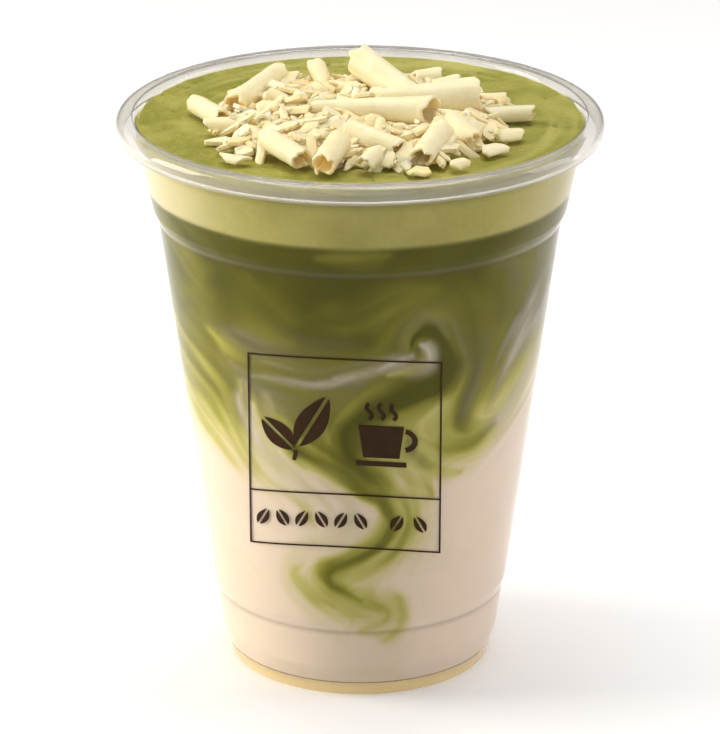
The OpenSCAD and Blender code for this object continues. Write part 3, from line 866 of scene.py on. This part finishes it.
CURLS = [
    ((10.4, 1.6, 4.0), (-0.3, 13.2, 9.2), 6.45, 6.76, 1.08, 200),
    ((3.6, -4.4, 5.6), (23.6, -0.8, 5.0), 4.61, 8.7, 1.08, 330),
    ((-9.4, -7.6, 5.0), (16.1, -11.8, 5.5), 3.02, 6.55, 1.08, 320),
    ((-25.6, 0.6, 2.8), (-16.4, 18.0, 4.4), 5.17, 5.17, 1.08, 290),
    ((25.4, -3.9, 2.2), (35.2, -0.6, 1.7), 3.53, 3.53, 1.08, 330),
    ((24.6, 7.4, 1.9), (30.6, 9.4, 1.6), 2.99, 2.99, 1.08, 330),
    ((-18.3, -23.4, 3.5), (-11.1, -33.8, 2.4), 4.68, 4.68, 1.08, 320),
    ((-7.2, -37.8, 2.4), (-3.9, -27.6, 4.4), 5.04, 5.04, 1.08, 300),
    ((-2.6, -21.6, 4.8), (8.6, -29.6, 2.8), 4.74, 4.48, 1.08, 320),
    ((11.8, -33.0, 2.4), (16.3, -21.0, 4.5), 4.91, 4.91, 1.08, 290),
    ((-33.4, 5.0, 2.0), (-27.6, -6.0, 2.1), 4.08, 4.08, 0.68, 350),
    ((-6.6, 10.4, 3.4), (-9.4, 17.4, 7.6), 3.75, 4.0, 1.08, 230),
    ((-5.4, 7.8, 4.4), (1.4, 6.2, 4.2), 3.45, 2.99, 0.72, 342),
    ((-31.0, -9.6, 1.9), (-24.4, -11.0, 2.4), 3.22, 3.68, 0.66, 353),
    ((18.0, -13.4, 3.4), (22.6, -21.6, 1.4), 6.16, 5.5, 0.45, 10),
    ((0.6, -36.6, 2.0), (3.2, -31.6, 3.2), 3.68, 3.68, 0.68, 350),
    ((-4.6, 14.8, 1.9), (0.2, 19.4, 2.1), 3.45, 3.45, 0.61, 2),
    ((10.6, 20.4, 2.3), (16.4, 23.0, 2.4), 3.96, 3.96, 0.55, 13),
    ((14.6, 14.6, 2.1), (20.4, 17.4, 2.8), 3.74, 3.74, 0.61, 2),
    ((25.0, -15.4, -0.9), (32.6, -12.6, -0.9), 7.0, 6.4, 0.32, 32),
    ((23.2, -25.2, -0.6), (28.4, -21.4, -0.6), 6.0, 5.6, 0.32, 32),
    ((8.8, -36.4, 2.7), (13.8, -38.0, 2.7), 4.6, 4.6, 0.34, 210),
    ((17.4, -34.2, -0.1), (21.2, -31.6, 0.3), 4.6, 4.6, 0.36, 25),
    ((-27.8, -28.0, -0.1), (-21.2, -30.6, -0.1), 4.4, 4.2, 0.34, 28),
]
SHEET = 0.75
SLANTED_HEADS = {3: 2.6, 5: 1.3, 6: 1.1, 9: 1.0}
SHARPER_ENDS = {12: 2.2}
SPACING_ALONG, SPACING_AROUND = 0.8, 0.36
BARE_MARGIN, LAYOUT_R = 3.0, 41.8
HEAP_H = 4.6
topping_scale = (float(wall_radius(surface_z)) - half_wall - BARE_MARGIN) / LAYOUT_R


def shell_faces(rows, columns):
    """Faces of a closed sheet: an outer and an inner grid of points, joined at the borders."""
    def at(layer, i, j):
        return (layer * rows + i) * columns + j

    faces = []
    for i in range(rows - 1):
        for j in range(columns - 1):
            faces.append((at(0, i, j), at(0, i + 1, j), at(0, i + 1, j + 1), at(0, i, j + 1)))
            faces.append((at(1, i, j), at(1, i, j + 1), at(1, i + 1, j + 1), at(1, i + 1, j)))
    last = columns - 1
    for i in range(rows - 1):
        faces.append((at(0, i, 0), at(1, i, 0), at(1, i + 1, 0), at(0, i + 1, 0)))
        faces.append((at(0, i, last), at(0, i + 1, last), at(1, i + 1, last), at(1, i, last)))
    last = rows - 1
    for j in range(columns - 1):
        faces.append((at(0, 0, j), at(0, 0, j + 1), at(1, 0, j + 1), at(1, 0, j)))
        faces.append((at(0, last, j), at(1, last, j), at(1, last, j + 1), at(0, last, j + 1)))
    return faces


def border_spaced(length, step, border=0.55):
    """Distances along a length: even ones, and closer ones by both borders."""
    inner = max(2, math.ceil((length - 2 * border) / step))
    middle = border + (length - 2 * border) * np.arange(inner + 1) / inner
    close = border * np.array([0.0, 0.12, 0.4])
    return np.concatenate([close, middle, length - close[::-1]])


def curl_sheet(curl, number, tear, ends_taper):
    """Points, faces and lay of one rolled sheet of chocolate, in layout millimetres."""
    tail, head = np.array(curl[0]), np.array(curl[1])
    d_tail, d_head, turns, spin = curl[2:]
    rng = np.random.default_rng(SEED * 100 + number)
    axis = head - tail
    length = float(np.linalg.norm(axis))
    u = axis / length
    v = unit(np.cross((0, 0, 1), u))
    w = np.cross(u, v)
    mean_d = (d_tail + d_head) / 2
    width = math.pi * mean_d * turns
    sheet = SHEET / topping_scale
    s = border_spaced(length, SPACING_ALONG)
    t = border_spaced(width, SPACING_AROUND)
    along, around = np.meshgrid(s, t, indexing="ij")
    edge = np.minimum(np.minimum(along, length - along), np.minimum(around, width - around))
    thick = sheet * np.sqrt(np.clip(1 - (1 - np.clip(edge / 0.3, 0, 1)) ** 2, 0.3, 1))
    roll_share = around / width
    wave = (patches(along / 3.5 + 9 * number, around / 2.8, 20 + number)
            + 0.5 * patches(along / 1.4 + 5 * number, around / 1.6, 60 + number))
    torn = np.zeros_like(along)
    ends_taper = ends_taper * SHARPER_ENDS.get(number, 1.0)
    for end, sign in ((0, -1), (1, 1)):
        jag = (patches(around / 1.4 + 31 * end, np.full_like(around, 0.5), 100 + number)
               + 0.6 * patches(around / 0.7 + 57 * end, np.full_like(around, 0.5), 140 + number))
        from_end = along if end == 0 else length - along
        torn += sign * tear * jag * (1 - eased(from_end, 0, 2.2))
        tip = rng.uniform(-0.7, 0.7)
        point = np.abs(2 * roll_share - 1 - tip)
        torn -= sign * ends_taper * point * (1 - np.clip(2 * from_end / length, 0, 1))
    turned = np.radians(spin + 360 * turns * roll_share)
    slant = SLANTED_HEADS.get(number, 0.0) * (1 - eased(length - along, 0, 6))
    torn -= slant * (0.5 - 0.5 * np.cos(turned))
    slit = 0.35 * patches(along / 2.2, np.zeros_like(along), 180 + number)
    angle = turned + slit * (2 * roll_share - 1) / mean_d
    diameter = d_tail + (d_head - d_tail) * along / length
    winding = 1.15 * sheet * eased(roll_share, 0.6, 0.92) * (turns > 1)
    outer = diameter / 2 - winding + 0.06 * wave
    middle = outer - sheet / 2
    reach = along + torn
    layers = []
    for side in (0.5, -0.5):
        radius = middle + side * thick
        layers.append(tail + u * reach[..., None] + v * (np.cos(angle) * radius)[..., None]
                      + w * (np.sin(angle) * radius)[..., None])
    points = np.concatenate([layer.reshape(-1, 3) for layer in layers])
    lay = np.stack([along, around, np.full_like(along, 7.0 * number)], -1).reshape(-1, 3)
    shade = np.full(along.size, rng.uniform(0.0, 0.35))
    # The inner face gets a higher value, which the finish paints a deeper gold with a faint glow:
    # painted light in the hollow.
    inner_painted_glow = shade + 0.45
    return (points, shell_faces(*along.shape), np.concatenate([lay, lay]),
            np.concatenate([shade, inner_painted_glow]))


def curls(name, numbers, tear, ends_taper):
    """One piece of several curls, numbered from 1 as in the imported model."""
    points, faces, lays, tone_and_glow_values, start = [], [], [], [], 0
    for number in numbers:
        p, f, lay, shade = curl_sheet(CURLS[number - 1], number, tear, ends_taper)
        points.append(p * topping_scale + (0, 0, surface_z))
        faces.extend(tuple(i + start for i in face) for face in f)
        lays.append(lay)
        tone_and_glow_values.append(shade)
        start += len(p)
    piece = new_piece(name, np.vstack(points), faces, CHOCOLATE, smooth_below=50)
    give_values(piece, "lay", np.vstack(lays))
    give_values(piece, "shade", np.concatenate(tone_and_glow_values))
    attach(piece, "root")
    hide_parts(*(f"curl_{n:02d}" for n in numbers))
    return piece


def heap_reach(a):
    """Radius of the heap's outline at an angle, in layout millimetres."""
    return (31.5 - 4.5 * np.sin(a) + 1.4 * np.sin(5 * a + math.radians(40))
            + 0.9 * np.sin(9 * a) + 0.6 * np.cos(2 * a))


def heap_top(a, share):
    """Height of the heap over the drink, from its middle (share 0) to its outline (1)."""
    rise = HEAP_H / topping_scale - 0.7
    return (0.7 + rise * np.clip(1 - share * share, 0, 1) ** 0.75
            * (1 + 0.14 * np.sin(4 * a + math.radians(300) * share)
               + 0.10 * np.sin(7 * a - math.radians(500) * share)))


def heap_mesh(name, shrink, drop, relief, around=180, across=30):
    """A mound over the heap's outline, lowered by the drop, with a flat underside in
    the drink."""
    turn = np.arange(around) * 2 * math.pi / around
    share, a = np.meshgrid(np.linspace(0, 1, across + 1)[1:], turn, indexing="ij")
    r = heap_reach(a) * share * shrink
    x, y = r * np.cos(a), r * np.sin(a)
    lumps = (patches(x / 3 + 40, y / 3 + 40, 31)
             + 0.7 * patches(x / 1.3 + 40, y / 1.3 + 40, 32)) * relief
    z = heap_top(a, share) - drop + lumps - 1.2 * eased(share, 0.85, 1.0)
    outline = np.column_stack([x[-1], y[-1], np.full(around, -0.8)])
    points = np.vstack([np.stack([x, y, z], -1).reshape(-1, 3), outline,
                        [(0, 0, float(heap_top(0.0, 0.0)) - drop)], [(0, 0, -0.8)]])
    first = across * around
    rings = ([[first + around + 1] * around, list(range(first, first + around))]
             + [list(range(i * around, (i + 1) * around)) for i in range(across)][::-1]
             + [[first + around] * around])
    points = points * topping_scale + (0, 0, surface_z)
    return new_piece(name, points, ring_faces(rings, around), CHOCOLATE)


def heap_core():
    piece = heap_mesh("heap_core", 0.92, 1.7, 0.55)
    # The core's value paints it a deeper gold with a faint glow: painted shade and painted glow in
    # the gaps between the loose pieces.
    give_values(piece, "shade", np.full(len(piece.data.vertices), 0.75))
    give_values(piece, "lay", np.zeros((len(piece.data.vertices), 3)))
    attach(piece, "root")
    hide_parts("shavings")


# ---- Loose pieces of the heap -----------------------------------------------------------------

def shard_shape(name, seed, length, width, thick, bend):
    """An angular sliver of chocolate: pointed ends, thin borders, a little bent."""
    rng = np.random.default_rng(seed)
    stations = np.array([-0.5, -0.32, -0.05, 0.25, 0.5])
    full = np.array([0.25, 0.85, 1.0, 0.85, 0.3]) * rng.uniform(0.7, 1.15, 5)
    sideways = rng.uniform(-0.14, 0.14, 5) * width
    columns = np.array([-0.5, -0.17, 0.17, 0.5])
    points, lay = [], []
    for layer in (1, -1):
        for s, f, shift in zip(stations, full, sideways):
            for c in columns:
                x = s * length + rng.uniform(-0.04, 0.04) * length
                y = c * f * width + shift
                rim = 0.6 if abs(c) > 0.4 or abs(s) > 0.45 else 1.0
                z = layer * rim * thick / 2 + bend * (y / width) ** 2 * width
                z += 0.5 * bend * (x / length) ** 2 * length
                points.append((x, y, z))
                lay.append((x, y, seed))
    return new_shape(name, points, shell_faces(len(stations), len(columns)), lay)


def quill_shape(name, seed, length, width, turns):
    """A short, narrow roll."""
    rng = np.random.default_rng(seed)
    around, thick = 10, 0.65
    points, lay = [], []
    for layer in (0, 1):
        for s in (-0.5, 0.5):
            for i in range(around + 1):
                a = 2 * math.pi * turns * i / around
                r = width / 2 - layer * thick - 0.08 * i / around
                x = s * length + rng.uniform(-0.25, 0.25)
                points.append((x, r * math.cos(a), r * math.sin(a)))
                lay.append((x, a * width / 2, seed))
    return new_shape(name, points, shell_faces(2, around + 1), lay)


def nugget_shape(name, seed, length, width, height):
    """A rounded lump."""
    rng = np.random.default_rng(seed)
    lump = bmesh.new()
    bmesh.ops.create_icosphere(lump, subdivisions=2, radius=0.5)
    knobs = rng.normal(0, 1, (5, 3))
    knobs /= np.linalg.norm(knobs, axis=1)[:, None]
    points = []
    for vert in lump.verts:
        d = np.array(vert.co) * 2
        swell = 1 + 0.22 * sum(max(0.0, float(d @ k)) ** 4 for k in knobs) - 0.12
        points.append(np.array(vert.co) * swell * (length, width, height))
    faces = [tuple(v.index for v in f.verts) for f in lump.faces]
    lump.free()
    return new_shape(name, points, faces, np.array(points) + (0, 0, seed))


def new_shape(name, points, faces, lay):
    """A small shape in millimetres, kept out of the scene, to be laid many times."""
    shape = new_piece(name, points, faces, CHOCOLATE, smooth_below=35)
    outward = bmesh.new()
    outward.from_mesh(shape.data)
    bmesh.ops.recalc_face_normals(outward, faces=outward.faces)
    outward.to_mesh(shape.data)
    outward.free()
    give_values(shape, "lay", lay)
    bpy.context.scene.collection.objects.unlink(shape)
    return shape


def scatter_tree():
    """Lays the shapes of a collection over a surface, clear of other pieces."""
    group, wires, given, out = new_group(
        "lay_loose_pieces", "GeometryNodeTree",
        [("Geometry", "NodeSocketGeometry", None), ("Shapes", "NodeSocketCollection", None),
         ("Clear Of", "NodeSocketCollection", None), ("Clearance", FLOAT, 0.001),
         ("Per Square Metre", FLOAT, 1e4), ("Spacing", FLOAT, 0.001), ("Tilt", FLOAT, 0.4),
         ("Smallest", FLOAT, 0.8), ("Largest", FLOAT, 1.2), ("Lowest", FLOAT, 0.0),
         ("Highest", FLOAT, 0.001), ("Seed", "NodeSocketInt", 1),
         ("Finish", "NodeSocketMaterial", None)],
        [("Geometry", "NodeSocketGeometry")])
    dense = wires.add("GeometryNodeInputNamedAttribute", {"Name": "cover"}, data_type="FLOAT")
    spots = wires.add("GeometryNodeDistributePointsOnFaces",
                      {"Mesh": given["Geometry"], "Distance Min": given["Spacing"],
                       "Density Max": given["Per Square Metre"], "Seed": given["Seed"],
                       "Density Factor": dense.outputs["Attribute"]},
                      distribute_method="POISSON")
    others = wires.add("GeometryNodeCollectionInfo", {"Collection": given["Clear Of"]},
                       transform_space="RELATIVE")
    joined = wires.add("GeometryNodeRealizeInstances", {0: others.outputs[0]})
    near = wires.add("GeometryNodeProximity", {0: joined.outputs[0]}, target_element="FACES")
    close = wires.add("FunctionNodeCompare", {0: near.outputs["Distance"], 1: given["Clearance"]},
                      data_type="FLOAT", operation="LESS_THAN")
    kept = wires.add("GeometryNodeDeleteGeometry",
                     {"Geometry": spots.outputs["Points"], "Selection": close.outputs[0]},
                     domain="POINT")

    def chance(low, high, kind="FLOAT", offset=0):
        seed = wires.add("FunctionNodeInputInt", integer=offset)
        number = wires.math("ADD", given["Seed"], seed.outputs[0])
        node = wires.add("FunctionNodeRandomValue", {"Seed": number}, data_type=kind)
        floats = [s for s in node.inputs if s.name in ("Min", "Max") and s.enabled]
        for socket, value in zip(floats, (low, high)):
            wires.feed(socket, value)
        return [s for s in node.outputs if s.enabled][0]

    lift = chance(given["Lowest"], given["Highest"], offset=3)
    upward = wires.add("ShaderNodeVectorMath", {0: spots.outputs["Normal"]}, operation="SCALE")
    wires.tree.links.new(lift, upward.inputs["Scale"])
    raised = wires.add("GeometryNodeSetPosition", {"Geometry": kept.outputs[0],
                                                   "Offset": upward.outputs[0]})
    back = wires.math("MULTIPLY", given["Tilt"], -1.0)
    turn = wires.add("ShaderNodeCombineXYZ", {0: chance(back, given["Tilt"], offset=5),
                                              1: chance(back, given["Tilt"], offset=7),
                                              2: chance(0.0, 2 * math.pi, offset=9)})
    turned = wires.add("FunctionNodeEulerToRotation", {0: turn.outputs[0]})
    posed = wires.add("FunctionNodeRotateRotation",
                      {0: spots.outputs["Rotation"], 1: turned.outputs[0]},
                      rotation_space="LOCAL")
    shapes = wires.add("GeometryNodeCollectionInfo",
                       {"Collection": given["Shapes"], "Separate Children": True,
                        "Reset Children": True})
    laid = wires.add("GeometryNodeInstanceOnPoints",
                     {"Points": raised.outputs[0], "Instance": shapes.outputs[0],
                      "Pick Instance": True, "Instance Index": chance(0, 1000, "INT", 11),
                      "Rotation": posed.outputs[0],
                      "Scale": chance(given["Smallest"], given["Largest"], offset=13)})
    # A random tone for each piece; above about 0.45 the finish also paints a faint glow on it.
    shaded = wires.add("GeometryNodeStoreNamedAttribute",
                       {"Geometry": laid.outputs[0], "Name": "shade",
                        "Value": chance(0.0, 0.6, offset=15)},
                       data_type="FLOAT", domain="INSTANCE")
    real = wires.add("GeometryNodeRealizeInstances", {0: shaded.outputs[0]})
    finished = wires.add("GeometryNodeSetMaterial", {"Geometry": real.outputs[0],
                                                     "Material": given["Finish"]})
    wires.tree.links.new(finished.outputs[0], out["Geometry"])
    return group


def collected(name, objects):
    group = bpy.data.collections.new(name)
    for obj in objects:
        group.objects.link(obj)
    return group


def scattered(name, surface, tree, values):
    """The finished mesh of a tree laid over a surface, as a piece of its own."""
    modifier = surface.modifiers.new("lay", "NODES")
    modifier.node_group = tree
    for item in tree.interface.items_tree:
        if item.item_type == "SOCKET" and item.in_out == "INPUT" and item.name in values:
            modifier[item.identifier] = values[item.name]
    surface.update_tag()
    bpy.context.view_layer.update()
    ready = surface.evaluated_get(bpy.context.evaluated_depsgraph_get())
    mesh = bpy.data.meshes.new_from_object(ready)
    surface.modifiers.remove(modifier)
    piece = bpy.data.objects.new(name, mesh)
    bpy.context.scene.collection.objects.link(piece)
    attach(piece, "root")
    return piece


def heap(neighbours):
    """The loose slivers, quills, nuggets and crumbs on the core."""
    surface = heap_mesh("heap_surface", 1.0, 0.55, 0.25)
    place = np.array([v.co for v in surface.data.vertices]) / MM
    a = np.arctan2(place[:, 1], place[:, 0])
    share = np.hypot(place[:, 0], place[:, 1]) / (heap_reach(a) * topping_scale)
    upper = place[:, 2] > surface_z + 0.05
    cover = np.where(upper, 1 - 0.35 * eased(share, 0.8, 1.0), 0.0)
    give_values(surface, "cover", cover)
    tree = scatter_tree()
    clear_of = collected("rolls_and_curls", neighbours)
    slivers = [shard_shape(f"sliver_{i}", 200 + i, length, width, thick, bend)
               for i, (length, width, thick, bend) in enumerate(
                   [(5.8, 2.5, 1.0, 0.10), (4.8, 2.9, 1.1, 0.22), (4.2, 2.2, 1.2, -0.1),
                    (6.6, 2.1, 0.9, 0.12), (3.6, 2.8, 1.3, 0.2), (5.2, 1.9, 1.1, 0.05),
                    (4.4, 3.1, 0.9, 0.25), (3.4, 2.0, 1.4, 0.0)])]
    quills = [quill_shape(f"quill_{i}", 230 + i, length, width, turns)
              for i, (length, width, turns) in enumerate(
                  [(5.0, 2.6, 0.95), (4.2, 3.0, 0.7), (5.8, 2.4, 0.95), (3.8, 3.2, 0.6)])]
    nuggets = [nugget_shape(f"nugget_{i}", 250 + i, *size)
               for i, size in enumerate([(3.8, 3.0, 2.4), (3.0, 2.7, 2.1), (4.4, 2.6, 2.2)])]
    crumbs = [shard_shape(f"crumb_{i}", 270 + i, length, width, 0.5, 0.1)
              for i, (length, width) in enumerate([(2.0, 1.2), (1.5, 1.1), (2.4, 0.9)])]
    common = {"Clear Of": clear_of, "Finish": CHOCOLATE}
    # number per square metre, spacing, tilt, least and most size, lowest and highest place,
    # seed, and clearance from the curls
    kinds = [
        ("loose_slivers", slivers, 2.6e5, 1.7, 0.5, 0.9, 1.35, -0.2, 1.3, 41, 0.5),
        ("loose_quills", quills, 2.0e4, 4.4, 0.35, 0.85, 1.15, 0.5, 1.3, 42, 1.3),
        ("loose_nuggets", nuggets, 2.6e4, 3.8, 0.4, 0.8, 1.2, 0.4, 1.3, 43, 1.0),
        ("loose_crumbs", crumbs, 5.0e4, 1.6, 0.6, 0.8, 1.3, 0.5, 1.6, 44, 0.5)]
    for name, shapes, dense, spacing, tilt, least, most, low, high, seed, clearance in kinds:
        values = dict(common, **{
            "Shapes": collected(name + "_shapes", shapes), "Per Square Metre": dense,
            "Spacing": spacing * MM, "Tilt": tilt, "Smallest": least, "Largest": most,
            "Lowest": low * MM, "Highest": high * MM, "Seed": seed,
            "Clearance": clearance * MM})
        scattered(name, surface, tree, values)
    bpy.data.objects.remove(surface)


# ---- Print ------------------------------------------------------------------------------------
# A frame with plain pictures in it, laid out flat: x to the right, h up from its lower edge.

FRAME_LEFT, FRAME_RIGHT, FRAME_H, DIVIDER_H = -22.0, 16.0, 42.5, 12.1
LINE = 0.34
INK_OUTSIDE, INK_INSIDE = 0.05, -0.03
# heights of the frame's lower and upper edges across it, which its slight tilt bends
print_low = np.polyfit((-21.9, -4.6, 16.4), (32.8, 35.2, 32.0), 2)
print_high = np.polyfit((-22.2, -6.0, 15.5), (76.0, 77.3, 75.3), 2)


def on_wall(x, h, out):
    """The place on the outside of the wall of a point of the flat layout."""
    low, high = np.polyval(print_low, x), np.polyval(print_high, x)
    z = low + (high - low) * h / FRAME_H
    r = float(wall_radius(z)) + half_wall + out
    return (x * r / (r - out), -math.sqrt(r * r - (x * r / (r - out)) ** 2), z)


def band(path, width):
    """The outline of a line of a given width along a path."""
    p = np.array(path, float)
    before = np.vstack([2 * p[0] - p[1], p[:-1]])
    after = np.vstack([p[1:], 2 * p[-1] - p[-2]])
    along = after - before
    along /= np.linalg.norm(along, axis=1)[:, None]
    side = np.column_stack([-along[:, 1], along[:, 0]]) * width / 2
    right, left = p - side, p + side
    return [[right[i], right[i + 1], left[i + 1], left[i]] for i in range(len(p) - 1)]


def arc(cx, cy, rx, ry, start, end, steps):
    a = np.radians(np.linspace(start, end, steps + 1))
    return np.column_stack([cx + rx * np.cos(a), cy + ry * np.sin(a)])


def printed(name, shapes):
    """Flat shapes cut fine, wrapped on the wall and given the thickness of ink."""
    flat = bmesh.new()
    for shape in shapes:
        for quad in shape:
            flat.faces.new([flat.verts.new((float(x), float(h), 0.0)) for x, h in quad])
    bmesh.ops.remove_doubles(flat, verts=flat.verts, dist=1e-4)
    bmesh.ops.recalc_face_normals(flat, faces=flat.faces)
    for face in flat.faces:
        if face.normal.z < 0:
            face.normal_flip()
    for x in np.arange(FRAME_LEFT - 1, FRAME_RIGHT + 1.1, 1.0):
        every = flat.verts[:] + flat.edges[:] + flat.faces[:]
        bmesh.ops.bisect_plane(flat, geom=every, plane_co=(x, 0, 0), plane_no=(1, 0, 0))
    bmesh.ops.triangulate(flat, faces=flat.faces)
    top = [on_wall(v.co.x, v.co.y, INK_OUTSIDE) for v in flat.verts]
    under = [on_wall(v.co.x, v.co.y, INK_INSIDE) for v in flat.verts]
    flat.verts.index_update()
    count = len(top)
    faces = [tuple(v.index for v in f.verts) for f in flat.faces]
    back = [tuple(i + count for i in reversed(face)) for face in faces]
    rims = []
    for edge in flat.edges:
        if len(edge.link_faces) == 1:
            loop = edge.link_loops[0]
            a, b = loop.vert.index, loop.link_loop_next.vert.index
            rims.append((b, a, a + count, b + count))
    flat.free()
    piece = new_piece(name, top + under, faces + back + rims, INK, smooth_below=30)
    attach(piece, "root")


def printing():
    left, right, high, mid = FRAME_LEFT, FRAME_RIGHT, FRAME_H, DIVIDER_H
    half = LINE / 2
    lines = [
        band([(left, -half), (left, high + half)], LINE),
        band([(right, -half), (right, high + half)], LINE)]
    for h in (0.0, mid, high):
        lines.append(band([(left + half, h), (right - half, h)], LINE))
    printed("print_frame", lines)

    def leaf_half(cx, cy, length, width, lean, sign, gap):
        t = np.linspace(0, 1, 17)
        bulge = width * np.sin(math.pi * t) ** 0.8 * (1 - 0.25 * t)
        inner = np.column_stack([np.full_like(t, sign * gap / 2), (t - 0.5) * length])
        outer = np.column_stack([sign * (gap / 2 + bulge / 2), (t - 0.5) * length])
        c, s = math.cos(lean), math.sin(lean)
        quads = []
        for i in range(len(t) - 1):
            quad = np.array([inner[i], outer[i], outer[i + 1], inner[i + 1]])
            quad = np.array([q for k, q in enumerate(quad)
                             if k == 0 or np.linalg.norm(q - quad[k - 1]) > 1e-3])
            if len(quad) > 2:
                quads.append(quad @ np.array([[c, s], [-s, c]]) + (cx, cy))
        return quads

    leaves = []
    for cx, cy, length, width, lean in (
            (-9.4, 28.2, 12.6, 6.0, -0.5), (-16.2, 25.2, 9.0, 4.6, 0.75)):
        for sign in (1, -1):
            leaves.append(leaf_half(cx, cy, length, width, lean, sign, 0.7))
    leaves.append(band([(-13.1, 19.4), (-12.8, 20.6), (-12.8, 21.6)], 0.8))
    printed("print_leaves", leaves)

    mug = [[np.array([(x0, 20.8), (x1, 20.8), (x1 + d1, 28.0), (x0 + d0, 28.0)])]
           for x0, x1, d0, d1 in ((0.6, 3.0, -0.9, -0.3), (3.0, 5.4, -0.3, 0.3),
                                  (5.4, 7.8, 0.3, 0.9))]
    mug.append(band(arc(8.6, 24.9, 2.3, 2.1, -80, 80, 16), 1.1))
    mug.append([np.array([(-0.8, 18.9), (9.2, 18.9), (9.2, 20.0), (-0.8, 20.0)])])
    for x in (2.2, 4.6, 7.0):
        t = np.linspace(0, 1, 13)
        steam = np.column_stack([x - 0.4 + 0.55 * np.sin(2 * math.pi * t), 29.4 + 3.6 * t])
        mug.append(band(steam, 0.8))
    printed("print_mug", mug)

    beans = []
    for i, x in enumerate((-19.4, -15.5, -11.6, -7.7, -3.8, 0.1, 7.4, 12.0)):
        lean = 0.5 if i % 2 else -0.5
        for sign in (1, -1):
            beans.append(leaf_half(x, 6.1, 3.9, 2.2, lean, sign, 0.45))
    printed("print_beans", beans)


# ---- Floor, light and camera ----------------------------------------------------------------

def floor():
    slab = bmesh.new()
    bmesh.ops.create_circle(slab, cap_ends=True, segments=128, radius=3.0)
    mesh = bpy.data.meshes.new("floor")
    slab.to_mesh(mesh)
    slab.free()
    mesh.materials.append(FLOOR)
    piece = bpy.data.objects.new("floor", mesh)
    bpy.context.scene.collection.objects.link(piece)


def soft_light(name, place, target, size, watts, colour):
    lamp = bpy.data.lights.new(name, "AREA")
    lamp.shape = "RECTANGLE"
    lamp.size, lamp.size_y = size
    lamp.energy = watts
    lamp.color = colour
    light = bpy.data.objects.new(name, lamp)
    light.location = place
    light.rotation_euler = (Vector(target) - Vector(place)).to_track_quat("-Z", "Y").to_euler()
    bpy.context.scene.collection.objects.link(light)


def studio():
    world = bpy.data.worlds.new("studio")
    world.use_nodes = True
    world.node_tree.nodes.clear()
    wires = Wiring(world.node_tree)
    direction = wires.add("ShaderNodeTexCoord").outputs["Generated"]
    parts = wires.add("ShaderNodeSeparateXYZ", {0: direction})
    upward = wires.ramp(wires.spread(parts.outputs["Z"], -1.0, 1.0), [
        (0.0, (0.55, 0.55, 0.56, 1)), (0.49, (0.50, 0.49, 0.50, 1)),
        (0.52, (0.42, 0.41, 0.42, 1)), (0.62, (0.55, 0.54, 0.55, 1)),
        (0.80, (0.95, 0.95, 0.95, 1)), (1.0, (1.0, 1.0, 1.0, 1))])
    path = wires.add("ShaderNodeLightPath")
    seen = wires.mix(path.outputs["Is Camera Ray"], upward, (0.93, 0.93, 0.93, 1))
    glow = wires.add("ShaderNodeBackground", {"Color": seen, "Strength": 0.26})
    out = wires.add("ShaderNodeOutputWorld")
    world.node_tree.links.new(glow.outputs[0], out.inputs["Surface"])
    bpy.context.scene.world = world
    aim = (0.0, 0.0, 0.06)
    soft_light("key", (-0.80, 0.06, 0.36), aim, (0.45, 0.6), 6.7, (1.0, 0.95, 0.87))
    soft_light("side", (0.80, 0.10, 0.30), aim, (0.4, 0.6), 2.5, (0.96, 0.91, 1.0))
    soft_light("overhead", (0.0, 0.15, 0.95), aim, (0.7, 0.7), 5.7, (1.0, 0.98, 0.95))
    soft_light("front", (0.1, -1.1, 0.45), aim, (0.8, 0.5), 2.0, (1.0, 0.97, 0.94))


def camera():
    lens = bpy.data.cameras.new("camera")
    lens.sensor_width = 36.0
    lens.lens = 215.6
    lens.clip_end = 20.0
    eye = bpy.data.objects.new("camera", lens)
    down, distance = math.radians(20.5), 0.9
    target = Vector((0.0, 0.0, 0.0614))
    eye.location = target + Vector((0.0, -math.cos(down), math.sin(down))) * distance
    eye.rotation_euler = (target - eye.location).to_track_quat("-Z", "Y").to_euler()
    bpy.context.scene.collection.objects.link(eye)
    bpy.context.scene.camera = eye
    bpy.context.scene.view_settings.view_transform = "Standard"


camera()
studio()
floor()
cup()
drink()
green_top()
heap_core()
rolls = curls("rolled_curls", range(1, 11), 0.85, 0.25)
opened = curls("open_curls", range(11, 20), 1.0, 0.9)
flakes = curls("broad_flakes", range(20, 25), 0.35, 1.8)
heap([rolls, opened, flakes])
printing()
